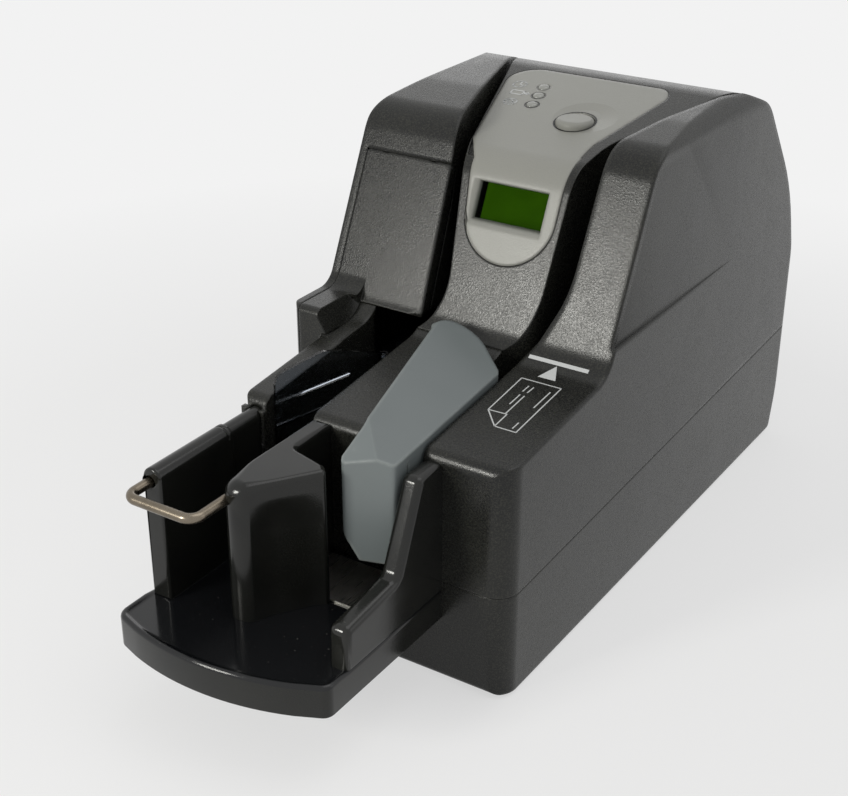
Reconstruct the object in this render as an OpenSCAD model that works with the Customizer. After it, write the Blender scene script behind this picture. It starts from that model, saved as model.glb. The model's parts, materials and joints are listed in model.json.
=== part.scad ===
// Desktop cheque scanner: hopper at the front right, U-shaped document track, two-pocket stacker.
// The origin is on the table at the middle of the overall length and width.
// +X is the right side, +Y is the rear, +Z is up, sizes are millimetres.

/* [Overall size] */

// Width of the body across its two sides
body_w = 162.4; // [161:0.2:167]
// Length of the body from its front face to its rear bulge
body_l = 334; // [330:1:340]
// Height of the top above the table
body_h = 229.5; // [227:0.5:234]
// How far the tray stands out in front of the body
tray_reach = 102.9; // [101:0.1:105]
// Wall thickness of the moulded housings
wall = 2.6; // [2.3:0.1:2.9]
// Height of the rubber feet
foot_h = 2; // [1.6:0.1:2.6]

/* [Decks, seam and slopes] */

// Height of the tallest cheque that stands in the track
cheque_h = 69.6; // [68:0.2:72]
// Height of the document floor above the table
floor_z = 50; // [49.4:0.1:51]
// Rise of the decks toward the rear in degrees
deck_rise = 5.8; // [5.2:0.1:6.4]
// Height of the seam between base and covers at the front
seam_z = 54.5; // [53.8:0.1:56]
// Rise of that seam toward the rear in degrees
seam_rise = 2.2; // [1.8:0.1:2.6]
// Distance from the front face to the foot of the slopes
slope_setback = 89.4; // [88:0.2:91]
// Angle of the slopes above the horizontal
slope_angle = 64.8; // [63.6:0.2:66]

/* [Document track] */

// Width of the right deck beside the hopper
right_deck_w = 43.8; // [43:0.1:45]
// Width of the hopper channel at its rear end
hopper_w = 11.5; // [11:0.1:12.2]
// Width of the centre deck
centre_deck_w = 48.5; // [48:0.1:49.5]
// Width of the stacker channel
pocket_w = 27.3; // [26.6:0.1:28]
// Width of the strip left of the stacker channel
strip_w = 12.1; // [11.8:0.1:12.6]
// Radius of the rear turn at the middle of the track
turn_r = 66; // [65:0.5:67]
// Width of the track at the rear turn
track_gap = 2.4; // [2:0.1:3]

/* [Tray, fence and stacker] */

// Height of the underside of the tray
tray_bottom = 34.9; // [33:0.1:37]
// Radius of the curved front edge of the tray
tray_arc_r = 130; // [124:1:138]
// Thickness of the feeder fence
fence_t = 10.2; // [9.4:0.1:11]
// Length of the fence in front of the body
fence_l = 72.8; // [71:0.2:75]
// Height of the tall part of the fence above the table
fence_h = 115.5; // [114:0.5:117]
// Thickness of the left pocket wall
pocket_wall_t = 10.5; // [9.8:0.1:11]
// Height of the wedge between stacker and hopper
wedge_h = 68.2; // [67:0.2:69.4]
// Diameter of the wire of the stop
wire_d = 4.8; // [4.4:0.1:5]
// How far the wire stands out in front of the pocket wall
wire_out = 14.5; // [13:0.5:16]
// Thickness of the clear pocket divider
divider_t = 1.8; // [1.5:0.1:2]

/* [Feeder flag] */

// Thickness of the top plate of the flag
flag_t = 4; // [3.6:0.1:4.4]
// Side tilt of the top plate of the flag in degrees
flag_tilt = 15.8; // [15:0.2:16.4]
// Thickness of the blade that presses on the cheques
blade_t = 3.6; // [3:0.1:4]

/* [Control panel] */

// Width of the display opening
lcd_w = 36.5; // [34:0.5:38]
// Height of the display opening along the slope
lcd_h = 17.9; // [16:0.1:19]
// Diameter of the feed button
button_d = 19.6; // [18:0.2:20.4]
// Diameter of a status lamp
lamp_d = 6.4; // [5.6:0.1:7]
// Thickness of the control panel
panel_t = 2; // [1.7:0.1:2.3]

/* [Rollers and drive] */

// Radius of the feed roller in the hopper
feed_r = 10.4; // [10:0.1:10.8]
// Radius of the entry roller behind it
entry_r = 9.4; // [9:0.1:9.8]
// Radius of the two driven turn rollers
turn_roller_r = 6.5; // [6.2:0.1:6.8]
// Radius of the two pinch rollers
pinch_r = 6; // [5.7:0.1:6.2]
// Diameter of the driven shafts
shaft_d = 5; // [4.6:0.1:5.4]
// Radial play of a shaft in its bush
shaft_fit = 0.05; // [0.03:0.01:0.08]
// Radius of the belt pulleys
pulley_r = 6; // [5.6:0.1:6.2]

/* [Hidden] */

$fn = 96;

// Seam gap between neighbouring covers, and the play around fitted trim
seam_gap = 0.35;
trim_gap = 0.25;
eps = 0.5;
far = 600;
// Arcs are this much larger than their tangent size, so that they cross the sides they run into
ease = 1.0004;

// Main planes across the width
rx = body_w / 2;
right_wall_x = rx - right_deck_w;
deck_r = right_wall_x - hopper_w;
deck_l = deck_r - centre_deck_w;
strip_r = deck_l - pocket_w;
strip_l = strip_r - strip_w;
shoulder_x = strip_l + 2;

// Main planes along the length
front_y = (tray_reach - body_l) / 2;
rear_y = front_y + body_l;
shoulder_y = front_y + 61.6;
console_y = front_y + 87.2;

// Heights on the side view
deck_front_z = floor_z + cheque_h;
foot_y = front_y + slope_setback;
foot_z = deck_z(foot_y);
shoulder_z = foot_z + 9.9;
mouth_z = deck_front_z + 14.4;
crest_z = body_h - 6.3;
console_crest_z = body_h - 19.6;
ridge_y = rear_y - 100.5;
ridge_z = body_h + 0.3;
base_floor_z = foot_h + wall;
plate_t = 2;
plate_z = floor_z - plate_t;

function deck_z(y) = deck_front_z + (y - front_y) * tan(deck_rise);
function slope_y(z) = foot_y + (z - foot_z) / tan(slope_angle);
function seam_at(y) = seam_z + (y - front_y) * tan(seam_rise);
console_rise = atan((ridge_z - 0.7 - console_crest_z) / (ridge_y - slope_y(console_crest_z)));
function console_top(y) = console_crest_z + (y - slope_y(console_crest_z)) * tan(console_rise);

// Small vector helpers
function unit(v) = v / norm(v);
function left_of(a, b) = let(d = unit(b - a)) [-d[1], d[0]];
function prev(p, i) = p[(i + len(p) - 1) % len(p)];
function next(p, i) = p[(i + 1) % len(p)];
function turning(p, i) = cross(unit(p[i] - prev(p, i)), unit(next(p, i) - p[i]));
function inset(p, t) = [for (i = [0:len(p) - 1])
  let(m = left_of(prev(p, i), p[i]), n = left_of(p[i], next(p, i))) p[i] + t * (m + n) / (1 + m * n)];
function inset_r(p, r, t) = [for (i = [0:len(p) - 1])
  r[i] == 0 ? 0 : max(0.4, turning(p, i) > 0 ? r[i] - t : r[i] + t)];
function tangent(p, c, r, s) = let(d = norm(c - p), l = sqrt(d * d - r * r),
  a = atan2(c[1] - p[1], c[0] - p[0]) + s * asin(r / d)) p + l * [cos(a), sin(a)];

// Side outline of the covers: front face, deck, slope, crown and rear bulge
rear_low = [rear_y - 14.8, foot_h];
rear_bulge = [rear_y + 3.4, 78];
rear_upper = [rear_y - 22.5, body_h - 71.5];
rear_brow = [rear_y - 68.5, body_h - 13];
cover_side = [[front_y, foot_h], rear_low, rear_bulge, rear_upper, rear_brow, [ridge_y, ridge_z],
  [slope_y(crest_z) + 41.6, body_h - 1.7], [slope_y(crest_z), crest_z], [foot_y, foot_z],
  [front_y, deck_front_z]];
cover_side_r = [3, 3, 90, 130, 37, 50, 120, 24, 18, 6];
console_side = [[front_y, foot_h], rear_low, rear_bulge, rear_upper, rear_brow, [ridge_y, ridge_z],
  [slope_y(console_crest_z), console_crest_z], [foot_y, foot_z], [front_y, deck_front_z]];
console_side_r = [3, 3, 90, 130, 37, 40, 22, 18, 6];
shoulder_side = [[shoulder_y, foot_h], [foot_y + 20, foot_h], [foot_y + 20, shoulder_z + 12],
  [slope_y(shoulder_z + 12) + 0.02, shoulder_z + 12], [slope_y(shoulder_z) + 0.02, shoulder_z],
  [shoulder_y, shoulder_z]];
shoulder_side_r = [0, 0, 0, 0, 12, 4];

// Outline of the body seen from above and from the front
body_plan = [[strip_l, front_y], [rx, front_y], [rx, rear_y + 1], [-rx, rear_y + 1],
  [-rx, shoulder_y], [strip_l, shoulder_y]];
body_plan_r = [3, 11, 12, 12, 7, 3];
body_face = [[-rx, -1], [rx, -1], [rx, body_h + 0.5], [-rx, body_h + 0.5]];
body_face_r = [0, 0, 14, 14];

// The U-shaped track: straight legs flare outward and run tangent into the rear turn
turn_c = [9, rear_y - 19 - turn_r];
outer_r = turn_r + track_gap / 2;
inner_r = turn_r - track_gap / 2;
outer_right = [right_wall_x + 16.6, console_y + 53.35];
outer_left = [deck_l - 4.4, console_y + 38.35];
inner_right = [deck_r + 15.3, console_y + 70.35];
inner_left = [deck_l + 1.6, console_y + 40.35];
sensor_y = console_y + 22.35;
sensor_h = cheque_h + 3.4;
head_y = console_y + 56.35;
cradle_at = [strip_l - 6, console_y + 29.75];
outer_right_t = tangent(outer_right, turn_c, outer_r, -1);
outer_left_t = tangent(outer_left, turn_c, outer_r, 1);
inner_right_t = tangent(inner_right, turn_c, inner_r, -1);
inner_left_t = tangent(inner_left, turn_c, inner_r, 1);
leg_r = unit(outer_right_t - outer_right);
leg_l = unit(outer_left_t - outer_left);
past_r = unit(inner_right_t - inner_right);
past_l = unit(inner_left_t - inner_left);
beyond = 90;
outer_track = [[right_wall_x, front_y - 60], [right_wall_x, console_y + 0.3],
  [right_wall_x + 14.6, console_y + 16.3], outer_right, outer_right_t + leg_r * beyond,
  outer_left_t + leg_l * beyond, outer_left,
  [deck_l - 1.9, console_y + 12.3], [deck_l - 0.2, console_y], [strip_r, console_y],
  [strip_r, front_y - 60]];
outer_track_r = [0, 16, 16, 80, 0, 0, 20, 0, 0, 0, 0];
inner_track = [[deck_l, console_y], [deck_r, console_y], [deck_r + 12.6, console_y + 11.3],
  inner_right, inner_right_t + past_r * beyond, inner_left_t + past_l * beyond, inner_left,
  [deck_l + 10.6, console_y + 11.3]];
inner_track_r = [0, 0, 14, 50, 0, 0, 50, 8];

// Places of the rollers
roller_proud = 1;
nip = 0.6;
feed_c = [right_wall_x + feed_r - roller_proud, front_y + 33.5];
entry_c = [right_wall_x + entry_r - roller_proud, front_y + 79.5];
separator_r = 8;
separator_c = [entry_c[0] - entry_r - nip - separator_r, entry_c[1]];
out_r = [leg_r[1], -leg_r[0]];
out_l = [-leg_l[1], leg_l[0]];
turn_right_c = outer_right + leg_r * 48 + out_r * (turn_roller_r - 1.2);
turn_left_c = outer_left + leg_l * 52 + out_l * (turn_roller_r - 1.2);
pinch_right_c = turn_right_c - out_r * (turn_roller_r + nip + pinch_r);
pinch_left_c = turn_left_c - out_l * (turn_roller_r + nip + pinch_r);
roller_z = floor_z + 9;
roller_l = 52;
driven = [feed_c, entry_c, turn_right_c, turn_left_c];
idlers = [separator_c, pinch_right_c, pinch_left_c];
pin_r = 2;
shaft_r = shaft_d / 2;
shaft_top = roller_z + roller_l + 3;

// Belt levels under the chassis plate
belt_h = 3;
level_a = plate_z - 5;
level_b = level_a - 4.7;
level_c = level_b - 4.7;
belt_play = 0.3;
belt_t = 1.2;
motor_c = [34, 30];
motor_r = 17;
motor_top = level_c - 3;

// Places on the console and on the control panel
panel_x = 11.4;
panel_r = 24.5;
panel_z = body_h - 43;
lcd_x = 10;
lcd_s = 4.6;
button_c = [14.5, 58.5];
button_r = button_d / 2;
button_top = console_top(button_c[1] + button_r) + 0.5;
lamps = [[-19.8, 88.3], [-17.6, 78.6], [-15.6, 68.4]];
post_x = [-15, 28];
post_y = [46, 96];
console_wall = 3.6;
board_drop = 7;

// Left access door
door_l = -rx + 4.7;
door_z = body_h - 25.5;
door_low_z = deck_front_z - 8.6;
barrel_r = 2.2;
barrel_in = barrel_r + 0.15;
ear_r = barrel_r - 0.55;
hinge_pin_r = 1;
hinge_fit = 0.08;
ear_x = [door_l + 9.5, deck_l - 16];
ear_t = 3;
door_skin = 0.4;

// Feeder flag and divider
flag_r = right_wall_x - roller_proud - 0.4;
flag_c = [-1.6, front_y + 75.5];
flag_pin_r = 2.5;
hub_r = 4.5;
nose_y = front_y - 28.5;
nose_l = 11;
nose_low_z = floor_z + 20;
nose_slant_z = floor_z + 36;
divider_c = [deck_l - 2.8, front_y + 61.6];
divider_len = 61.3;
divider_angle = 22.6;
divider_pin_r = 1.2;
fence_y = front_y - fence_l;
wire_r = wire_d / 2;
wire_z = floor_z + 59;
rim_z = wire_z + 1.75;
wire_fit = 0.08;
wire_x = [strip_r - 6.7, deck_l + 3.1];
wire_bend = 5.5;
wire_y = fence_y - wire_out;
wire_in = 46;
wedge_z = floor_z + wedge_h;

// Housing bosses that carry the chassis plate
bosses = [[strip_l + 6, front_y + 15.5], [5, front_y + 15.5], [-rx + 9, front_y + 85.5],
  [rx - 7, front_y + 115.5], [-rx + 11, rear_y - 33], [rx - 15, rear_y - 33]];
boss_r = 3.4;
screw_r = 1.5;
feet = [[strip_l + 12, front_y + 14], [rx - 16, front_y + 14], [-rx + 16, rear_y - 34],
  [rx - 16, rear_y - 34]];
board_z = base_floor_z + 4;
board_top = board_z + 1.6;
port_z = base_floor_z + 9;
port_y = rear_y - 14.8 + (port_z - foot_h) * 0.205;
power_x = -42;
data_x = -20;

// Colours
shell_c = [0.16, 0.16, 0.17];
dark_c = [0.06, 0.06, 0.07];
grey_c = [0.62, 0.62, 0.6];
flag_col = [0.5, 0.54, 0.55];
steel_c = [0.72, 0.72, 0.7];
rubber_c = [0.1, 0.1, 0.1];
green_c = [0.2, 0.38, 0.1];

// Centre of the arc in a corner, and the two points where it touches the sides
function half_angle(p, i) = acos(unit(prev(p, i) - p[i]) * unit(next(p, i) - p[i])) / 2;
function arc_centre(p, i, r) = p[i] + unit(unit(prev(p, i) - p[i]) + unit(next(p, i) - p[i])) * r / sin(half_angle(p, i));
function touch(p, i, r, q) = p[i] + unit(q - p[i]) * r / tan(half_angle(p, i));

// Outward corner: the patch between the true arc and the corner
module corner_patch(p, i, r) {
  c = arc_centre(p, i, r);
  k = 1 + 0.4 / r;
  difference() {
    polygon([c, c + (touch(p, i, r, prev(p, i)) - c) * k, c + (p[i] - c) * k,
      c + (touch(p, i, r, next(p, i)) - c) * k]);
    translate(c) circle(r * ease);
  }
}

// Outline with rounded corners: p holds the corners, r the radius of each
module rounded(p, r) {
  difference() {
    polygon([for (i = [0:len(p) - 1]) each (r[i] > 0 && turning(p, i) < 0)
      ? [touch(p, i, r[i], prev(p, i)), arc_centre(p, i, r[i]), touch(p, i, r[i], next(p, i))] : [p[i]]]);
    for (i = [0:len(p) - 1]) if (r[i] > 0 && turning(p, i) > 0) corner_patch(p, i, r[i]);
    for (i = [0:len(p) - 1]) if (r[i] > 0 && turning(p, i) < 0) translate(arc_centre(p, i, r[i])) circle(r[i] * ease);
  }
}

// Side outline with its corners run as short flats of a few degrees each
function corner_flats(p, i, r, step) = let(c = arc_centre(p, i, r), a = touch(p, i, r, prev(p, i)) - c,
  sweep = sign(turning(p, i)) * (180 - 2 * half_angle(p, i)), n = max(2, ceil(abs(sweep) / step)))
  [for (k = [0:n]) c + r * [cos(atan2(a[1], a[0]) + sweep * k / n), sin(atan2(a[1], a[0]) + sweep * k / n)]];

module side_view(p, r, t) {
  q = inset(p, t);
  s = inset_r(p, r, t);
  polygon([for (i = [0:len(q) - 1]) each (s[i] > 0) ? corner_flats(q, i, s[i], t > 0 ? 9 : 4.5) : [q[i]]]);
}

// Stands a flat shape up between two heights
module up(z0, z1) {
  translate([0, 0, z0]) linear_extrude(z1 - z0) children();
}

// Runs a side view shape across the width
module across(x0, x1) {
  translate([x0, 0, 0]) rotate([90, 0, 90]) linear_extrude(x1 - x0) children();
}

// Runs a front view shape along the length
module along(y0, y1) {
  translate([0, y1, 0]) rotate([90, 0, 0]) linear_extrude(y1 - y0) children();
}

// Frame that lies on the slope: its origin is on the slope at the given height
module on_slope(z) {
  translate([0, slope_y(z), z]) rotate([slope_angle - 90, 0, 0]) children();
}

// Body envelope from side, top and front outlines, thinned by t on every side
module envelope(side, side_r, t) {
  intersection() {
    across(-rx - 1, rx + 1) side_view(side, side_r, t);
    up(0, body_h + 5) rounded(inset(body_plan, t), inset_r(body_plan, body_plan_r, t));
    along(front_y - 1, rear_y + 1) rounded(inset(body_face, t), inset_r(body_face, body_face_r, t));
  }
}

// Rounds the far end of a U-shaped plan with one true arc around the turn centre
module turn_cut(right_t, left_t, r) {
  difference() {
    polygon([turn_c, turn_c + (right_t - turn_c) * 1.2, [far, turn_c[1]], [far, far], [-far, far], [-far, turn_c[1]],
      turn_c + (left_t - turn_c) * 1.2]);
    translate(turn_c) circle(r * ease);
  }
}

module outer_zone(t) {
  difference() {
    rounded(inset(outer_track, -t), inset_r(outer_track, outer_track_r, -t));
    turn_cut(outer_right_t, outer_left_t, outer_r + t);
  }
}

module inner_zone(t) {
  difference() {
    rounded(inset(inner_track, t), inset_r(inner_track, inner_track_r, t));
    turn_cut(inner_right_t, inner_left_t, inner_r - t);
  }
}

// Space below the seam, raised by g
module below_seam(g) {
  across(-rx - 5, rx + 5) polygon([[front_y - 20, -5], [rear_y + 20, -5],
    [rear_y + 20, seam_at(rear_y + 20) + g], [front_y - 20, seam_at(front_y - 20) + g]]);
}

// Outer band of the covers that gives way to the base below the seam
module base_band() {
  intersection() {
    below_seam(seam_gap);
    difference() {
      up(-5, body_h) square(far, center = true);
      up(-6, body_h + 1) rounded(inset(body_plan, wall + 0.3), inset_r(body_plan, body_plan_r, wall + 0.3));
    }
  }
  intersection() {
    below_seam(seam_gap);
    difference() {
      across(-rx - 1, rx + 1) translate([rear_y - 60, -5]) square([90, 120]);
      across(-rx - 2, rx + 2) side_view(cover_side, cover_side_r, wall + 0.3);
    }
  }
}

module roller_bay(c, r) {
  translate([c[0], c[1], roller_z - 2]) cylinder(r = r + 0.9, h = roller_l + 6);
  translate([c[0], c[1], floor_z - 1]) cylinder(r = 5.6, h = roller_z - floor_z);
}

module base_housing() {
  color(shell_c) difference() {
    union() {
      difference() {
        intersection() {
          envelope(cover_side, cover_side_r, 0);
          below_seam(0);
        }
        intersection() {
          envelope(cover_side, cover_side_r, wall);
          up(base_floor_z, body_h) square(far, center = true);
        }
      }
      for (b = bosses) translate([b[0], b[1], base_floor_z - eps]) cylinder(r = boss_r, h = plate_z - base_floor_z + eps);
    }
    translate([strip_r, front_y - 1, floor_z]) cube([right_wall_x - strip_r, wall + 2, 40]);
    for (b = bosses) translate([b[0], b[1], plate_z - 9]) cylinder(r = screw_r + 0.05, h = 10);
    translate([power_x - 6.3, port_y - 8, port_z - 1.3]) cube([12.6, 30, 12.6]);
    translate([data_x - 7.3, port_y - 8, port_z - 1.3]) cube([14.6, 30, 13.6]);
  }
}

module right_cover() {
  color(shell_c) difference() {
    difference() {
      intersection() {
        envelope(cover_side, cover_side_r, 0);
        up(floor_z, body_h + 5) difference() {
          translate([turn_c[0] + seam_gap / 2, front_y - 50]) square([far, far]);
          outer_zone(0);
        }
      }
      intersection() {
        envelope(cover_side, cover_side_r, wall);
        up(floor_z - 1, body_h + 5) difference() {
          translate([turn_c[0] + wall, front_y - 50]) square([far, far]);
          outer_zone(wall);
        }
      }
    }
    base_band();
    roller_bay(feed_c, feed_r);
    roller_bay(entry_c, entry_r);
    roller_bay(turn_right_c, turn_roller_r);
    roller_bay(pinch_right_c, pinch_r);
    side_relief(1);
  }
}

// Shallow relief on the side that makes the crease above the deck
module side_relief(s) {
  up(foot_z + 12, body_h + 5) polygon([[s * (rx - 2.6), front_y + 60], [s * (rx + 3), front_y + 60],
    [s * (rx + 3), ridge_y], [s * rx, ridge_y]]);
}

module left_body() {
  difference() {
    intersection() {
      union() {
        envelope(cover_side, cover_side_r, 0);
        intersection() {
          envelope(shoulder_side, shoulder_side_r, 0);
          translate([-far, -far / 2, 0]) cube([far + shoulder_x, far, far]);
        }
      }
      up(floor_z, body_h + 5) difference() {
        translate([turn_c[0] - seam_gap / 2 - far, front_y - 50]) square([far, far]);
        outer_zone(0);
      }
    }
    intersection() {
      union() {
        envelope(cover_side, cover_side_r, wall);
        intersection() {
          envelope(shoulder_side, shoulder_side_r, wall);
          translate([-far, -far / 2, 0]) cube([far + shoulder_x - wall, far, far]);
        }
      }
      up(floor_z - 1, body_h + 5) difference() {
        translate([turn_c[0] - wall - far, front_y - 50]) square([far, far]);
        outer_zone(wall);
      }
    }
    base_band();
  }
}

// The region of the left cover that swings with the door, grown by g
module door_zone(g) {
  intersection() {
    translate([door_l - g, shoulder_y - 6, door_low_z - g]) cube([deck_l - door_l + 6, 90, far]);
    on_slope(door_z) translate([-far / 2, -60, -far - barrel_r + g]) cube([far, 69 + g, far]);
    union() {
      translate([-far, -far / 2, 0]) cube([far + strip_l - eps + g, far, far]);
      translate([strip_l - 2, -far / 2, deck_z(shoulder_y) + 0.9 - g]) cube([shoulder_x - strip_l + 2.2 + g, far, far]);
      translate([shoulder_x - 1, -far / 2, mouth_z - g]) cube([far, far, far]);
    }
  }
}

module left_cover() {
  color(shell_c) difference() {
    union() {
      difference() {
        union() {
          left_body();
          translate([strip_l, front_y - 2.8, door_low_z - 14]) cube([strip_w + 0.8, 2.8, deck_front_z - 5 - door_low_z + 14]);
        }
        door_zone(seam_gap);
        door_barrel_space();
      }
      for (x = ear_x) hinge_ear(x);
    }
    translate([strip_r, console_y - 1, floor_z - 1]) cube([deck_l - strip_r + 4, 26, mouth_z - floor_z + 1]);
    translate([strip_r - seam_gap - 0.1, shoulder_y, door_low_z]) cube([2, console_y - shoulder_y + 25, mouth_z - door_low_z]);
    roller_bay(turn_left_c, turn_roller_r);
    roller_bay(pinch_left_c, pinch_r);
    translate([cradle_at[0] + 28, cradle_at[1] + 6.6, floor_z + 16]) cube([14, 4, 6]);
    translate([strip_r - pocket_wall_t / 2, front_y - 20, rim_z]) rotate([-90, 0, 0]) cylinder(r = pocket_wall_t / 2 - 0.6, h = 21.9);
    translate([door_l - 2, 0, 0]) hinge_pin_bore(0.02);
  }
}

// Ears on the cover that hold the door pin
module hinge_ear(x) {
  on_slope(door_z) translate([x, 0, 0]) {
    translate([0, barrel_in, -barrel_r]) rotate([0, 90, 0]) cylinder(r = ear_r, h = ear_t);
    translate([0, barrel_in + 0.7, -barrel_r]) cube([ear_t, barrel_r - 0.7, barrel_r + 4]);
    translate([0, 1, 0.6]) cube([ear_t, barrel_in + barrel_r - 1, 3.4]);
  }
}

// Clear space that the door barrel needs in the cover
module door_barrel_space() {
  on_slope(door_z) translate([door_l - seam_gap, barrel_in, -barrel_r]) rotate([0, 90, 0])
    cylinder(r = barrel_r + 0.35, h = deck_l - door_l + 6);
}

module hinge_pin_bore(g) {
  on_slope(door_z) translate([0, barrel_in, -barrel_r]) rotate([0, 90, 0]) cylinder(r = hinge_pin_r + g, h = far);
}

module access_door() {
  color(shell_c) difference() {
    union() {
      intersection() {
        left_body();
        door_zone(0);
      }
      intersection() {
        on_slope(door_z) translate([door_l + 0.6, barrel_in, -barrel_r]) rotate([0, 90, 0]) cylinder(r = barrel_r, h = deck_l - door_l);
        up(0, far) difference() {
          square(far, center = true);
          outer_zone(0.4);
        }
      }
    }
    for (x = ear_x) on_slope(door_z) translate([x - 0.4, door_skin, -6]) cube([ear_t + 0.8, 12, 12]);
    translate([door_l - 1, 0, 0]) hinge_pin_bore(hinge_fit);
  }
}

module door_hinge_pin() {
  color(steel_c) on_slope(door_z) translate([door_l + 2, barrel_in, -barrel_r]) rotate([0, 90, 0])
    cylinder(r = hinge_pin_r, h = deck_l - door_l - 8);
}

// Outline of the control panel, grown by g: rounded foot on the slope, flared top
module panel_zone(g) {
  on_slope(panel_z) translate([0, 12, 0]) rotate([90, 0, 0]) linear_extrude(24) {
    translate([panel_x, 0]) circle(panel_r + g);
    polygon([[panel_x - panel_r - g, 0], [panel_x + panel_r + g, 0], [35.8 + g, 34], [-18 - g, 34]]);
  }
  up(panel_z + 21, body_h + 10) rounded(inset([[-18, 8], [35.8, 8], [34.6, 40], [46, 97], [43, 107],
    [-40, 107], [-44, 92], [-25, 26]], -g), [0, 0, 20, 8 + g, 8 + g, 16 + g, 16 + g, 40]);
}

module panel_skin(t0, t1) {
  intersection() {
    difference() {
      across(-rx, rx) side_view(console_side, console_side_r, t0);
      across(-rx - 1, rx + 1) side_view(console_side, console_side_r, t1);
    }
    translate([-far / 2, console_y, panel_z - 40]) cube([far, 160, 90]);
    children();
  }
}

module centre_console() {
  color(shell_c) difference() {
    intersection() {
      envelope(console_side, console_side_r, 0);
      up(floor_z, body_h + 5) inner_zone(0);
    }
    intersection() {
      envelope(console_side, console_side_r, console_wall);
      up(floor_z - 1, body_h + 5) inner_zone(console_wall);
    }
    panel_skin(-3, panel_t + 0.1) panel_zone(trim_gap);
    panel_skin(0, console_wall + 1) panel_zone(-2);
    roller_bay(turn_right_c, turn_roller_r);
    roller_bay(pinch_right_c, pinch_r);
    roller_bay(turn_left_c, turn_roller_r);
    roller_bay(pinch_left_c, pinch_r);
    roller_bay(separator_c, separator_r);
  }
}

module centre_deck() {
  color(shell_c) difference() {
    intersection() {
      envelope(cover_side, cover_side_r, 0);
      up(floor_z, body_h) deck_plan(0);
    }
    difference() {
      intersection() {
        envelope(cover_side, cover_side_r, wall);
        up(floor_z - 1, body_h) deck_plan(wall);
      }
      translate([flag_c[0], flag_c[1], deck_z(flag_c[1]) - 26]) cylinder(r = hub_r + 1.5, h = 40);
    }
    translate([flag_c[0], flag_c[1], floor_z]) cylinder(r = flag_pin_r + 0.02, h = far);
    roller_bay(separator_c, separator_r);
  }
}

module deck_plan(t) {
  polygon(inset([[deck_l, front_y], [deck_r - 10, front_y], [deck_r, front_y + 53], [deck_r, console_y - seam_gap],
    [deck_l, console_y - seam_gap]], t));
}

module control_panel() {
  color(grey_c) difference() {
    union() {
      panel_skin(0, panel_t) panel_zone(0);
      for (x = post_x) for (y = post_y)
        translate([x, y, console_top(y + 2) - board_drop + 0.5]) cylinder(r = 2, h = board_drop - 1.2);
    }
    on_slope(panel_z) translate([lcd_x - lcd_w / 2, -5, lcd_s - lcd_h / 2]) cube([lcd_w, 12, lcd_h]);
    for (l = lamps) on_top(l) translate([0, 0, -10]) cylinder(r = lamp_d / 2 + 0.12, h = 20);
    translate([button_c[0], button_c[1], body_h - 60]) cylinder(r = button_r + 0.35, h = 90);
  }
}

module display_module() {
  color(green_c) on_slope(panel_z) translate([lcd_x - lcd_w / 2 - 1.6, panel_t + 0.3, lcd_s - lcd_h / 2 - 2])
    cube([lcd_w + 3.2, 6, lcd_h + 5]);
}

module display_window() {
  color([0.5, 0.6, 0.5]) on_slope(panel_z) translate([lcd_x - lcd_w / 2 + 0.15, 0.9, lcd_s - lcd_h / 2 + 0.15])
    cube([lcd_w - 0.3, 1.1, lcd_h - 0.3]);
}

// Frame on the sloping top of the console at a place seen from above
module on_top(c) {
  translate([c[0], c[1], console_top(c[1])]) rotate([console_rise, 0, 0]) children();
}

module status_lamps() {
  color([0.75, 0.76, 0.72]) for (l = lamps) on_top(l) translate([0, 0, 0.8 - board_drop]) cylinder(r = lamp_d / 2, h = board_drop - 0.5);
}

module feed_button() {
  color(grey_c) difference() {
    translate([button_c[0], button_c[1], button_top - 5.2]) cylinder(r = button_r, h = 5.2);
    translate([button_c[0], button_c[1], button_top - 6.2]) cylinder(r = button_r - 2, h = 4.2);
  }
}

module panel_board() {
  color([0.12, 0.3, 0.16]) {
    across(post_x[0] - 5, post_x[1] + 5) polygon([[post_y[0] - 6, console_top(post_y[0] - 6) - board_drop - 1.2],
      [post_y[1] + 4, console_top(post_y[1] + 4) - board_drop - 1.2],
      [post_y[1] + 4, console_top(post_y[1] + 4) - board_drop + 0.4],
      [post_y[0] - 6, console_top(post_y[0] - 6) - board_drop + 0.4]]);
    translate([button_c[0] - 3, button_c[1] - 3, button_top - 10]) cube([6, 6, 6.6]);
  }
}

module tray_plan(t) {
  intersection() {
    translate([(strip_l - 1.2 + right_wall_x + fence_t) / 2 - 7, front_y - tray_reach + tray_arc_r]) circle(tray_arc_r - t);
    rounded(inset([[strip_l - 1.2, front_y - tray_reach - 9], [right_wall_x + fence_t, front_y - tray_reach - 9],
      [right_wall_x + fence_t, front_y], [strip_l - 1.2, front_y]], t), [0, 0, 0, 0]);
  }
}

module front_tray() {
  color(shell_c) {
    difference() {
      up(tray_bottom, floor_z) tray_plan(0);
      up(tray_bottom - 1, floor_z - 3) tray_plan(wall);
    }
    across(right_wall_x, right_wall_x + fence_t) rounded([[front_y, floor_z - 1], [front_y, fence_h],
      [front_y - 17, fence_h], [front_y - 35, floor_z + 24.5], [fence_y, floor_z + 20.5], [fence_y, floor_z - 1]],
      [0, 0, 4, 5, 4, 0]);
  }
}

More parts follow.
